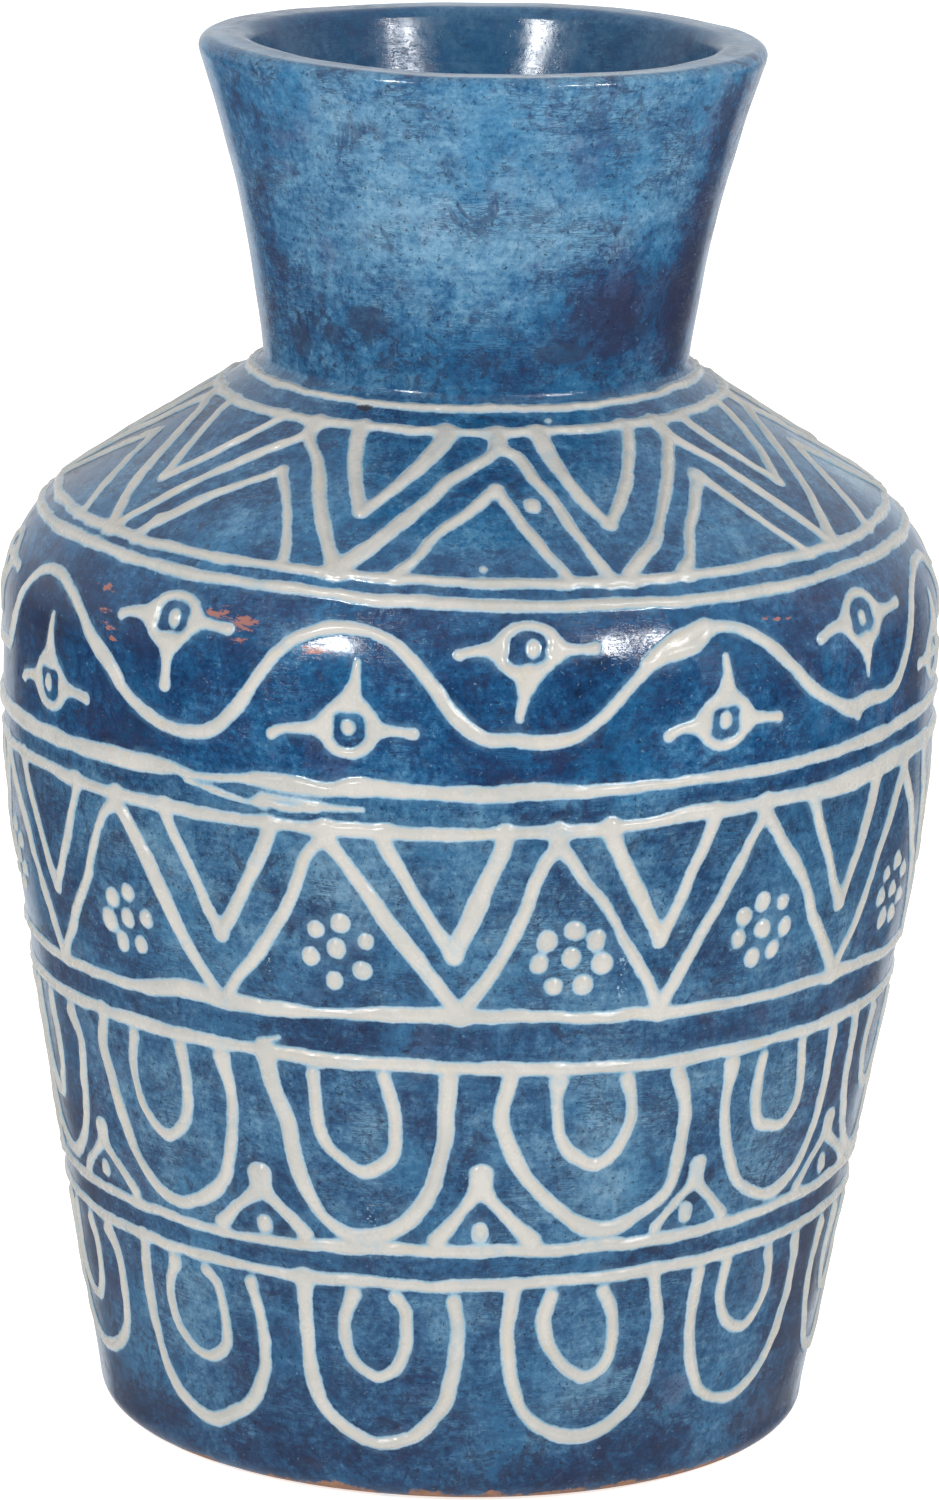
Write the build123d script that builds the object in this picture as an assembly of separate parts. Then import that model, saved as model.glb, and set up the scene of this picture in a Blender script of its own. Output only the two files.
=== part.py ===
from build123d import *
from math import atan2, cos, degrees, radians, sin, sqrt, tan
import os

# Talavera vase: a wide glazed earthenware vessel with a sharp shoulder, a narrow
# flared neck and raised slip-trailed lines. Millimetres, +Z up, origin at the centre
# of the foot, which rests on Z = 0. Angle 0 is the front (-Y), positive towards +X.

# Clay profile. A lean is measured in degrees from vertical, positive outwards.
HEIGHT = 400.0
FOOT_RADIUS = 103.0          # where the wall would meet the ground without its rounding
FOOT_CORNER = 8.0            # rounding between foot and wall
TAPER = 9.65                 # outward lean of the lower wall
TAPER_LENGTH = 146.5         # straight part of the lower wall
BELLY_ARC = 441.0            # long curve of the upper wall
BELLY_LEAN = -1.8            # lean where the belly's curve ends and the shoulder starts
SHOULDER_ARC = 42.5
DOME_LEAN = -57.1            # straight cone above the shoulder
NECK_RADIUS = 60.2           # outside of the crease under the neck
NECK_LEAN = 6.2              # lean of the neck at the crease
LIP_LEAN = 19.6              # lean of the neck's outside at the lip
LIP_WIDTH = 14.5             # level top of the lip, measured before its edges are rounded
LIP_OUTER_ROUND = 3.0
LIP_INNER_ROUND = 4.5
WALL = 11.5                  # clay thickness
FLOOR = 12.0                 # thickness of the foot slab

# Heights of the joints where the clay sections are luted together
LOWER_SEAM = 147.4
UPPER_SEAM = 213.6
SHOULDER_SEAM = 263.6

# Slip lines
SLIP_HEIGHT = 1.0            # how far the lines stand out from the clay
RING_HEIGHT = 1.2
RING_WIDTH = 4.0
BOLD_LINE = 3.8
LINE = 3.2
FINE_LINE = 2.8
FOOT_GAP = 1.1               # degrees kept clear on each side where two motifs meet
CUTTER_REACH = 25.0          # how far a stroke's cutter reaches each way from the wall
WAVE_OVERRUN = 0.1           # share of a half wave drawn past each end before it is cut off
FRONT = -90                  # angle 0 of the motifs, measured from +X
HAUNCH = 0.45                # share of a U's depth, from its bottom, that is curved

# Height of each encircling ring, from the neck down
NECK_RING = 305.6
CHEVRON_TOP = 300.0
CHEVRON_BOTTOM = 268.8
VINE_TOP = 263.6
VINE_BOTTOM = 213.6
ZIGZAG_TOP = 203.0
ZIGZAG_BOTTOM = 147.4
UPPER_SCALLOP_TOP = 133.2
UPPER_SCALLOP_BOTTOM = 77.8
LOWER_SCALLOP_TOP = 68.6
FOOT_BAND_END = 13.0         # the lowest band has no ring below it

# Angles of the motifs round the wall, spaced by eye and so a little uneven
CHEVRONS = [-80, -36, 6, 45.5, 85, 125, 165, 205, 243]
VINE_CRESTS = [-63, -15, 31.5, 79, 124, 169, 213, 255]
ZIGZAGS = [-77, -46.5, -16.5, 11.5, 39, 68, 98, 128, 158, 188, 218, 250]
UPPER_SCALLOPS = [-72, -42.5, -13, 18, 48.5, 79, 109, 139, 169, 199, 229, 259]
LOWER_SCALLOPS = [-71, -40.5, -10.5, 19.5, 49, 79, 109, 139, 169, 199, 229, 259]

# Heights within the bands
INNER_CHEVRON_TIP = 287.4
SMALL_CHEVRON_TIP = 281.5
VINE_CREST = 255.2
VINE_TROUGH = 226.0
UPPER_FLOWER = 252.2
UPPER_TAIL = 233.5
LOWER_FLOWER = 229.5
LOWER_TAIL = 248.2
HANGING_TIP = 165.5
DOT_CLUSTER = 166.5
UPPER_OUTER_END = 81.5
UPPER_INNER_END = 100.5
TENT_TIP = 101.0
TENT_DOT = 83.5
LOWER_OUTER_END = 18.5
LOWER_INNER_END = 39.0

# Half widths of the motifs, in degrees round the wall
INNER_CHEVRON_HALF = 11.5
SMALL_CHEVRON_HALF = 8.5
HANGING_HALF = 7.2
SCALLOP_HALF = 11.3
INNER_SCALLOP_HALF = 4.3
TENT_HALF = 6.2
FLOWER_ARM = 8.8

# Flowers and dots
FLOWER_WIDE = 9.0            # half width of a flower's ring
FLOWER_HIGH = 7.0
FLOWER_HOLE_WIDE = 5.4
FLOWER_HOLE_HIGH = 4.6
FLOWER_EYE = 2.0
BLOB = 2.6                   # round end of a flower's arm or tail
CLUSTER_RADIUS = 8.0
CLUSTER_DOTS = 7
DOT = 2.2
STRAY_DROPS = [(10.2, 285.0, 1.8), (1.6, 271.9, 0.9)]    # angle, height, radius


# ------------------------------------------------------------------ clay profile

def direction(lean):
    """Unit direction in the half section of a line with that lean."""
    return Vector(sin(radians(lean)), cos(radians(lean)))


def inward(point, lean, inset):
    """Point moved into the clay, square to a wall with that lean."""
    return Vector(point.X - cos(radians(lean)) * inset, point.Y + sin(radians(lean)) * inset)


def on_taper(point, height):
    """Point at a height on the line through point that leans as the lower wall does."""
    return Vector(point.X + (height - point.Y) * tan(radians(TAPER)), height)


foot_edge = Vector(FOOT_RADIUS - FOOT_CORNER, 0)
foot_corner = JernArc(foot_edge, Vector(1, 0), FOOT_CORNER, 90 - TAPER)
wall_start = foot_corner @ 1
taper_top = wall_start + direction(TAPER) * TAPER_LENGTH


def wall_lines(inset, base):
    """The wall's half section from a base height up to the crease, inset into the clay."""
    top = inward(taper_top, TAPER, inset)
    taper = Line(on_taper(top, base), top)
    belly = JernArc(top, direction(TAPER), BELLY_ARC - inset, TAPER - BELLY_LEAN)
    shoulder = JernArc(belly @ 1, direction(BELLY_LEAN), SHOULDER_ARC - inset, BELLY_LEAN - DOME_LEAN)
    crease_radius = inward(Vector(NECK_RADIUS, 0), DOME_LEAN, inset).X
    dome_length = (crease_radius - (shoulder @ 1).X) / sin(radians(DOME_LEAN))
    dome = PolarLine(shoulder @ 1, dome_length, direction=direction(DOME_LEAN))
    return [taper, belly, shoulder, dome]


outer_wall = wall_lines(0, wall_start.Y)
inner_wall = wall_lines(WALL, FLOOR)
crease = outer_wall[-1] @ 1
neck_arc = (HEIGHT - crease.Y) / (sin(radians(LIP_LEAN)) - sin(radians(NECK_LEAN)))


def wall_radius(height):
    """Outer radius of the clay at a height between the foot corner and the crease."""
    taper, belly, shoulder, dome = outer_wall
    if height < (taper @ 1).Y:
        return on_taper(taper_top, height).X
    if height > (dome @ 0).Y:
        return NECK_RADIUS + (height - crease.Y) * tan(radians(DOME_LEAN))
    arc = belly if height < (belly @ 1).Y else shoulder
    return arc.arc_center.X + sqrt(arc.radius**2 - (height - arc.arc_center.Y) ** 2)


def clay_section():
    """Half section of all the clay: foot, wall, throat, neck and level lip."""
    outer_neck = JernArc(crease, direction(NECK_LEAN), neck_arc, NECK_LEAN - LIP_LEAN)
    mouth_edge = outer_neck @ 1 - Vector(LIP_WIDTH, 0)
    lip = Line(outer_neck @ 1, mouth_edge)
    neck_start = inward(crease, NECK_LEAN, WALL)
    inner_neck = TangentArc(neck_start, mouth_edge, tangent=direction(NECK_LEAN))
    throat = JernArc(inner_wall[-1] @ 1, direction(DOME_LEAN), WALL, DOME_LEAN - NECK_LEAN)
    floor = Line(inner_wall[0] @ 0, (0, FLOOR))
    axis = Line((0, FLOOR), (0, 0))
    foot = Line((0, 0), foot_edge)
    outside = [foot, foot_corner, *outer_wall, outer_neck, lip]
    inside = [inner_neck, throat, *reversed(inner_wall), floor, axis]
    section = make_face(outside + inside)
    inner_edge, outer_edge = section.vertices().group_by(Axis.Y)[-1].sort_by(Axis.X)
    section = fillet(inner_edge, LIP_INNER_ROUND)
    outer_edge = section.vertices().sort_by_distance(outer_edge)[0]
    return fillet(outer_edge, LIP_OUTER_ROUND)


def slip_section():
    """Half section of the skin that the slip lines lie in, all the way up the wall."""
    inside = wall_lines(0, FOOT_BAND_END)
    outside = wall_lines(-SLIP_HEIGHT, FOOT_BAND_END)
    bottom = Line(inside[0] @ 0, outside[0] @ 0)
    top = Line(inside[-1] @ 1, outside[-1] @ 1)
    return make_face([*inside, *outside, bottom, top])


def between(low, high):
    """Strip of the half section between two heights."""
    return Pos(HEIGHT / 2, (low + high) / 2) * Rectangle(HEIGHT, high - low)


def revolved(section):
    """Solid of revolution about the vase's axis."""
    return revolve(Plane.XZ * section, Axis.Z)


clay = clay_section()
slip_skin = slip_section()


# ------------------------------------------------------------------ slip lines

def ring_lean(height):
    """Lean of the wall where a ring crosses it."""
    below, above = height - RING_WIDTH / 2, height + RING_WIDTH / 2
    return degrees(atan2(wall_radius(above) - wall_radius(below), RING_WIDTH))


def ring_oval(height):
    """Oval, half of it sunk in the clay, that a ring's section is taken from."""
    tilted = Rot(0, 0, -ring_lean(height)) * Ellipse(RING_HEIGHT, RING_WIDTH / 2)
    return Pos(wall_radius(height), height) * tilted


class Band:
    """Stretch of wall between two heights, with the skin of slip its lines are cut from."""

    def __init__(self, low, high, ring_heights):
        self.middle = (low + high) / 2
        self.radius = wall_radius(self.middle)
        self.lean = atan2(wall_radius(high) - wall_radius(low), high - low)
        skin = slip_skin & between(low, high)
        for height in ring_heights:
            skin -= ring_oval(height)
        self.section = skin.faces().sort_by(SortBy.AREA)[-1]
        self.skin = revolved(self.section)

    def plane(self, angle):
        """Plane touching the wall: x runs round it, y up it and z outwards."""
        turn = radians(angle)
        out = Vector(sin(turn), -cos(turn), 0)
        along = Vector(cos(turn), sin(turn), 0)
        up = out * sin(self.lean) + Vector(0, 0, cos(self.lean))
        return Plane(out * self.radius + Vector(0, 0, self.middle), along, along.cross(up))

    def spot(self, turn, height):
        """Point in that plane of the place on the wall that many degrees to its right."""
        radius = wall_radius(height)
        out = radius * cos(radians(turn)) - self.radius
        rise = height - self.middle
        return Vector(radius * sin(radians(turn)), out * sin(self.lean) + rise * cos(self.lean))

    def lay(self, angle, sketch, skin=None):
        """Slip in the shape of a sketch drawn on the plane at that angle."""
        return extrude(self.plane(angle) * sketch, CUTTER_REACH, both=True) & (skin or self.skin)

    def sector(self, start, end):
        """The band's skin between two angles only."""
        turned = Rot(0, 0, start + FRONT) * (Plane.XZ * self.section)
        return revolve(turned, Axis.Z, end - start)

    def vee(self, tip, feet, width):
        """Slip V from one foot to the tip and to the other foot, each an (angle, height)."""
        angle = tip[0]
        points = [self.spot(a - angle, height) for a, height in (feet[0], tip, feet[1])]
        return self.lay(angle, trail([Line(*points[:2]), Line(*points[1:])], width))

    def scoop(self, angle, half, top, bottom, width):
        """Slip U that hangs from the top height, half degrees to each side of its angle."""
        sides = [self.spot(turn, top) for turn in (-half, half)]
        low = self.spot(0, bottom)
        haunch = top * HAUNCH + bottom * (1 - HAUNCH)
        left, right = (self.spot(turn, haunch) for turn in (-half, half))
        path = [
            Line(sides[0], left),
            Spline(left, low, right, tangents=[left - sides[0], sides[1] - right]),
            Line(right, sides[1]),
        ]
        return self.lay(angle, trail(path, width))

    def dot(self, angle, height, radius):
        """Round drop of slip."""
        return self.lay(angle, Pos(self.spot(0, height)) * Circle(radius))


def trail(path, width):
    """Flat outline of a slip line along a path, rounded at its ends and corners."""
    outline = trace(path, width)
    for line in path:
        for end in (0, 1):
            outline += Pos(line @ end) * Circle(width / 2)
    return outline


def midway(angles):
    """Angles halfway from each motif to the next one, all the way round."""
    following = angles[1:] + [angles[0] + 360]
    return [(here + there) / 2 for here, there in zip(angles, following)]


def arches(band, tips, tip_height, foot_height, width):
    """V after V round the wall, with neighbouring feet almost touching."""
    rights = midway(tips)
    lefts = [rights[-1] - 360] + rights[:-1]
    laid = []
    for tip, left, right in zip(tips, lefts, rights):
        feet = ((left + FOOT_GAP, foot_height), (right - FOOT_GAP, foot_height))
        laid.append(band.vee((tip, tip_height), feet, width))
    return laid


def vees(band, angles, half, tip_height, foot_height, width):
    """Separate Vs of one size, one at each angle."""
    laid = []
    for angle in angles:
        feet = ((angle - half, foot_height), (angle + half, foot_height))
        laid.append(band.vee((angle, tip_height), feet, width))
    return laid


def half_wave(band, start, end, start_height, end_height):
    """The vine's line between a crest and a trough, cut off square to the wall."""
    angle = (start + end) / 2
    first = band.spot(start - angle, start_height)
    last = band.spot(end - angle, end_height)
    level = Vector(last.X - first.X, 0)
    path = [
        Line(first - level * WAVE_OVERRUN, first),
        Spline(first, last, tangents=[level, level]),
        Line(last, last + level * WAVE_OVERRUN),
    ]
    return band.lay(angle, trace(path, BOLD_LINE), band.sector(start, end))


def vine(band, crests):
    """One wavy line of slip all the way round."""
    following = crests[1:] + [crests[0] + 360]
    waves = []
    for crest, trough, next_crest in zip(crests, midway(crests), following):
        waves.append(half_wave(band, crest, trough, VINE_CREST, VINE_TROUGH))
        waves.append(half_wave(band, trough, next_crest, VINE_TROUGH, VINE_CREST))
    return Part() + waves


def flower(band, angle, height, tail_height):
    """Ring of slip with an arm to each side and a tail, all ending in blobs."""
    middle = band.spot(0, height)
    centre = Pos(middle)
    ring = centre * Ellipse(FLOWER_WIDE, FLOWER_HIGH)
    for turn, tip_height in ((-FLOWER_ARM, height), (FLOWER_ARM, height), (0, tail_height)):
        tip = band.spot(turn, tip_height)
        ring += trail([Line(middle, tip)], LINE)
        ring += Pos(tip) * Circle(BLOB)
    return band.lay(angle, ring - centre * Ellipse(FLOWER_HOLE_WIDE, FLOWER_HOLE_HIGH))


def cluster(band, angle, height):
    """Ring of dots round one dot."""
    centre = Pos(band.spot(0, height))
    dots = Sketch() + [centre * place * Circle(DOT) for place in PolarLocations(CLUSTER_RADIUS, CLUSTER_DOTS)]
    return band.lay(angle, dots + centre * Circle(BLOB))


# ------------------------------------------------------------------ the pieces

def clay_pieces():
    """The clay sections that are luted together: a base slab inside a stack of walls."""
    floor_edge = inner_wall[0] @ 0
    slab = Polygon((0, 0), on_taper(floor_edge, 0), floor_edge, (0, FLOOR), align=None)
    heights = {
        "lower_wall": (0, LOWER_SEAM),
        "belly_wall": (LOWER_SEAM, UPPER_SEAM),
        "shoulder_wall": (UPPER_SEAM, SHOULDER_SEAM),
        "shoulder_dome": (SHOULDER_SEAM, crease.Y),
        "neck_and_lip": (crease.Y, HEIGHT),
    }
    walls = {name: revolved((clay & between(*span)) - slab) for name, span in heights.items()}
    return {"foot_slab": revolved(slab), **walls}


def ring_pieces():
    """The encircling lines of slip."""
    heights = {
        "neck_ring": NECK_RING,
        "chevron_top_ring": CHEVRON_TOP,
        "chevron_bottom_ring": CHEVRON_BOTTOM,
        "vine_top_ring": VINE_TOP,
        "vine_bottom_ring": VINE_BOTTOM,
        "zigzag_top_ring": ZIGZAG_TOP,
        "zigzag_bottom_ring": ZIGZAG_BOTTOM,
        "upper_scallop_top_ring": UPPER_SCALLOP_TOP,
        "upper_scallop_bottom_ring": UPPER_SCALLOP_BOTTOM,
        "lower_scallop_top_ring": LOWER_SCALLOP_TOP,
    }
    return {name: revolved(ring_oval(height) - clay) for name, height in heights.items()}


def chevron_pieces():
    """Arched Vs on the dome, each over a smaller one, with small Vs hanging between."""
    band = Band(CHEVRON_BOTTOM, CHEVRON_TOP, (CHEVRON_BOTTOM, CHEVRON_TOP))
    hanging = vees(band, midway(CHEVRONS), SMALL_CHEVRON_HALF, SMALL_CHEVRON_TIP, CHEVRON_TOP, FINE_LINE)
    inner = vees(band, CHEVRONS, INNER_CHEVRON_HALF, INNER_CHEVRON_TIP, CHEVRON_BOTTOM, LINE)
    return {
        "chevron_arches": arches(band, CHEVRONS, CHEVRON_TOP, CHEVRON_BOTTOM, BOLD_LINE),
        "inner_chevrons": inner,
        "hanging_chevrons": hanging,
        "stray_drops": [band.dot(*drop) for drop in STRAY_DROPS],
    }


def vine_pieces():
    """Wavy vine with flowers above its troughs and below its crests."""
    band = Band(VINE_BOTTOM, VINE_TOP, (VINE_BOTTOM, VINE_TOP))
    upper = midway(VINE_CRESTS)
    eyes = [band.dot(angle, UPPER_FLOWER, FLOWER_EYE) for angle in upper]
    eyes += [band.dot(angle, LOWER_FLOWER, FLOWER_EYE) for angle in VINE_CRESTS]
    return {
        "vine": [vine(band, VINE_CRESTS)],
        "upper_flowers": [flower(band, angle, UPPER_FLOWER, UPPER_TAIL) for angle in upper],
        "lower_flowers": [flower(band, angle, LOWER_FLOWER, LOWER_TAIL) for angle in VINE_CRESTS],
        "flower_eyes": eyes,
    }


def zigzag_pieces():
    """Tall zigzag with hanging Vs in its valleys and dot clusters under its peaks."""
    band = Band(ZIGZAG_BOTTOM, ZIGZAG_TOP, (ZIGZAG_BOTTOM, ZIGZAG_TOP))
    return {
        "zigzag": arches(band, ZIGZAGS, ZIGZAG_TOP, ZIGZAG_BOTTOM, BOLD_LINE),
        "hanging_vees": vees(band, midway(ZIGZAGS), HANGING_HALF, HANGING_TIP, ZIGZAG_TOP, LINE),
        "dot_clusters": [cluster(band, angle, DOT_CLUSTER) for angle in ZIGZAGS],
    }


def upper_scallop_pieces():
    """Us hanging from a ring, each round a smaller one, with little tents between."""
    low, high = UPPER_SCALLOP_BOTTOM, UPPER_SCALLOP_TOP
    band = Band(low, high, (low, high))
    tents = midway(UPPER_SCALLOPS)
    return {
        "upper_scallops": [
            band.scoop(angle, SCALLOP_HALF, high, UPPER_OUTER_END, BOLD_LINE) for angle in UPPER_SCALLOPS
        ],
        "upper_inner_scallops": [
            band.scoop(angle, INNER_SCALLOP_HALF, high, UPPER_INNER_END, LINE) for angle in UPPER_SCALLOPS
        ],
        "tents": vees(band, tents, TENT_HALF, TENT_TIP, low, FINE_LINE),
        "tent_dots": [band.dot(angle, TENT_DOT, BLOB) for angle in tents],
    }


def lower_scallop_pieces():
    """The same Us again, hanging towards the foot."""
    high = LOWER_SCALLOP_TOP
    band = Band(FOOT_BAND_END, high, (high,))
    return {
        "lower_scallops": [
            band.scoop(angle, SCALLOP_HALF, high, LOWER_OUTER_END, BOLD_LINE) for angle in LOWER_SCALLOPS
        ],
        "lower_inner_scallops": [
            band.scoop(angle, INNER_SCALLOP_HALF, high, LOWER_INNER_END, LINE) for angle in LOWER_SCALLOPS
        ],
    }


def write(name, pieces):
    """One STEP file per node: a single solid, or a group of separate ones."""
    solids = [solid for piece in pieces for solid in piece.solids()]
    shape = solids[0] if len(solids) == 1 else Compound(solids)
    shape.label = name
    export_step(shape, f"parts/{name}.step")
    print(name, len(solids), "solids")


os.makedirs("parts", exist_ok=True)
for name, piece in {**clay_pieces(), **ring_pieces()}.items():
    write(name, [piece])
for make_band in (chevron_pieces, vine_pieces, zigzag_pieces, upper_scallop_pieces, lower_scallop_pieces):
    for name, pieces in make_band().items():
        write(name, pieces)
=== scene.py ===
import math
import bpy
import numpy as np
from mathutils import Matrix, Vector


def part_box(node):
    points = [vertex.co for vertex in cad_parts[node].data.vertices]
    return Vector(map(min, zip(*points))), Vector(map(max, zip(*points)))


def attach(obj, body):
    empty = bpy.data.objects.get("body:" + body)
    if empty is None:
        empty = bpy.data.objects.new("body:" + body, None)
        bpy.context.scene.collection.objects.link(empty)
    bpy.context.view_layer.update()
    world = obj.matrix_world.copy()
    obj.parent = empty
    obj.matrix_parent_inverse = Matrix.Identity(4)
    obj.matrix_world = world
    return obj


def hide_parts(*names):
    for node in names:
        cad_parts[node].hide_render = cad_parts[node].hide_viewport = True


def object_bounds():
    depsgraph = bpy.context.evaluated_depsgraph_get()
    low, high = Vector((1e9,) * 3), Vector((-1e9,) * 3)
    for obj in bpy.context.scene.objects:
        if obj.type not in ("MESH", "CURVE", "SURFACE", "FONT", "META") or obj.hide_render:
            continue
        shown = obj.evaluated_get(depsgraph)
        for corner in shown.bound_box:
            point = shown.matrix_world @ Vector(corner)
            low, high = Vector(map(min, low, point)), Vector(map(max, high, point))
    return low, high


# Glazed vase with raised slip lines. Lengths in millimetres until a mesh is written,
# angles in degrees from the front (-Y), positive towards +X.

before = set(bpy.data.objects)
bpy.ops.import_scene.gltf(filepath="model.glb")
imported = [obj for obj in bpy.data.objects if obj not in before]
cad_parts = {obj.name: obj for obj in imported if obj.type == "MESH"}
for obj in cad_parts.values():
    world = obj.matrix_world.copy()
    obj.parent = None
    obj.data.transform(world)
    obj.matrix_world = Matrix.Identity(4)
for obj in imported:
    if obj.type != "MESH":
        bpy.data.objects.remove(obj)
cad_low, cad_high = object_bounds()
MM = 0.001
UNIT = (cad_high[2] - cad_low[2]) / 0.4          # 1 when the vase is 400 mm tall
rng = np.random.default_rng(41)

# Heights of the tops of the clay sections. The dome's top is the crease under the neck.
SECTIONS = ("lower_wall", "belly_wall", "shoulder_wall", "shoulder_dome", "foot_slab")
LOWER_SEAM, UPPER_SEAM, SHOULDER_SEAM, CREASE, FLOOR = (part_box(node)[1].z / MM for node in SECTIONS)

# ---------------------------------------------------------------- profile

WALL = 11.5
SLAB_R, FOOT_STRIP, FOOT_EDGE_R = 90.0, 5.0, 8.0     # base slab, flat strip and rounded edge round it
TAPERED_LENGTH, DOME_LENGTH = 146.5, 64.17
BELLY_R, SHOULDER_R, CREASE_R, NECK_R, NECK_IN_R = 441.0, 42.5, 3.2, 404.2, 532.6
LIP_OUT_R, LIP_TOP, LIP_IN_R = 3.0, 6.9, 4.5
TAPER, BELLY, DOME, NECK, LIP = 9.65, -1.8, -57.1, 6.2, 19.0     # lean of the wall where each stretch ends
MOUTH = 15.84                                        # lean of the neck's inside just below the lip
SECTION_STEP = 0.1


class Pen:
    """Draws the vase's half section as rows of distance, radius, height and lean."""

    def __init__(self, r, z, lean):
        self.rows = [(0.0, r, z, lean)]

    def step(self, length, bend, count):
        for _ in range(count):
            s, r, z, lean = self.rows[-1]
            middle = math.radians(lean + bend / 2)
            self.rows.append((s + length, r + math.sin(middle) * length,
                              z + math.cos(middle) * length, lean + bend))

    def line(self, length):
        count = max(1, int(abs(length) / SECTION_STEP))
        self.step(length / count, 0.0, count)

    def arc(self, radius, lean):
        turn = lean - self.rows[-1][3]
        length = abs(math.radians(turn)) * radius
        count = max(4, int(length / SECTION_STEP))
        self.step(length / count, turn / count, count)


pen = Pen(SLAB_R, 0.0, 90.0)
pen.line(FOOT_STRIP)
pen.arc(FOOT_EDGE_R, TAPER)
pen.line(TAPERED_LENGTH)
pen.arc(BELLY_R, BELLY)
pen.arc(SHOULDER_R, DOME)
pen.line(DOME_LENGTH - CREASE_R * math.tan(math.radians((NECK - DOME) / 2)))
pen.arc(CREASE_R, NECK + 0.3)
pen.arc(NECK_R, LIP)
LIP_START = pen.rows[-1][0]
pen.arc(LIP_OUT_R, -90)
pen.line(LIP_TOP)
pen.arc(LIP_IN_R, MOUTH - 180)
LIP_END = pen.rows[-1][0]
pen.arc(NECK_IN_R, NECK - 180)
pen.arc(WALL, DOME - 180)
pen.line(DOME_LENGTH)
pen.arc(SHOULDER_R - WALL, BELLY - 180)
pen.arc(BELLY_R - WALL, TAPER - 180)
pen.line(pen.rows[-1][2] / math.cos(math.radians(TAPER)))
section = np.array(pen.rows)
section[:, :3] *= UNIT
T_S, T_R, T_Z, T_LEAN = section.T
OUT = (T_S <= LIP_START * UNIT) & (T_S > FOOT_STRIP * UNIT)
IN = T_S >= LIP_END * UNIT


def out_s(z):
    """Distance along the outside of the section at a height."""
    return np.interp(z, T_Z[OUT], T_S[OUT])


def in_s(z):
    """Distance along the section to the inside of the wall at a height."""
    return np.interp(-np.asarray(z, float), -T_Z[IN], T_S[IN])


# Waves of the hand-made wall: height, waves round the vase, phase and length along the wall.
WAVES = ((0.42, 2, 0.7, 260), (0.22, 3, -1.1, 90), (0.10, 5, 0.4, 41), (0.07, 8, 2.0, -27),
         (0.05, 13, 1.0, 15), (0.035, 19, 0.2, -9))


def wobble(theta, s):
    """How far the hand-made wall strays from a true surface of revolution."""
    t = np.radians(theta)
    waves = sum(size * np.cos(count * t + phase + s / length) for size, count, phase, length in WAVES)
    throwing = 0.07 * np.sin(s / 6.5 + 1.6 * np.sin(t + 0.5) + 0.8 * np.sin(3 * t))
    return waves + throwing + 0.05 * np.sin(s / 3.4 + 2.1 * np.sin(2 * t + 1.2))


def surface(theta, s, lift=0.0):
    """Points in metres on the wall (or lifted off it) at each angle and distance along the section."""
    theta, s = np.broadcast_arrays(np.asarray(theta, float), np.asarray(s, float))
    r, z, lean = (np.interp(s, T_S, column) for column in (T_R, T_Z, T_LEAN))
    lean = np.radians(lean)
    foot = np.clip(z / 9.0, 0, 1)                    # the standing edge stays true
    off = wobble(theta, s) * foot * foot * (3 - 2 * foot) + lift
    r = r + np.cos(lean) * off
    z = z - np.sin(lean) * off
    t = np.radians(theta)
    return np.stack([r * np.sin(t), -r * np.cos(t), z], -1) * MM


def unit(vectors):
    return vectors / np.maximum(np.linalg.norm(vectors, axis=-1, keepdims=True), 1e-12)


# ---------------------------------------------------------------- slip lines

FINE = 0.6                   # grid cell on the wall
CELL = 0.6 / FINE
GIRTH = 840                  # round the shoulder
SLIP_FROM, SLIP_TO = 11.0, 310.5                     # heights between which there is slip
COLS = int(round(GIRTH / FINE / 2)) * 2
S_LOW, S_HIGH = out_s(SLIP_FROM), out_s(SLIP_TO)
ROWS = int((S_HIGH - S_LOW) / FINE) + 1
GRID_S = np.linspace(S_LOW, S_HIGH, ROWS)
GRID_R = np.interp(GRID_S, T_S, T_R)
GRID_T = -180 + 360 * np.arange(COLS) / COLS
FAR = 6.0                    # distance beyond which a line isn't felt
WEB = 0.75                   # how softly neighbouring lines flow together
EDGE = 0.75                  # width of the thin fringe outside a line
PATH_STEP = 1.6              # length of the short steps of a path
SWELL, WANDER = 0.075, 0.16  # how much a line's width (as a share) and height vary by hand


def soft_noise(size):
    """Smooth noise of unit spread over the grid, with features of that many cells, closed sideways."""
    f = np.fft.rfft2(rng.normal(size=(ROWS, COLS)))
    fy = np.fft.fftfreq(ROWS)[:, None] * size
    fx = np.fft.rfftfreq(COLS)[None] * size
    n = np.fft.irfft2(f * np.exp(-2.2 * (fx * fx + fy * fy)), s=(ROWS, COLS))
    return n / n.std()


WARP_X, WARP_Y = (0.13 * soft_noise(13 * CELL) + 0.05 * soft_noise(5 * CELL) for _ in range(2))
total = np.zeros((ROWS, COLS))
fields = {}


def on_section(rows):
    """Turns (angle, height, width) into (angle, distance along the section, half width)."""
    return [(angle, float(out_s(z * UNIT)), width / 2 * UNIT) for angle, z, width in rows]


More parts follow.
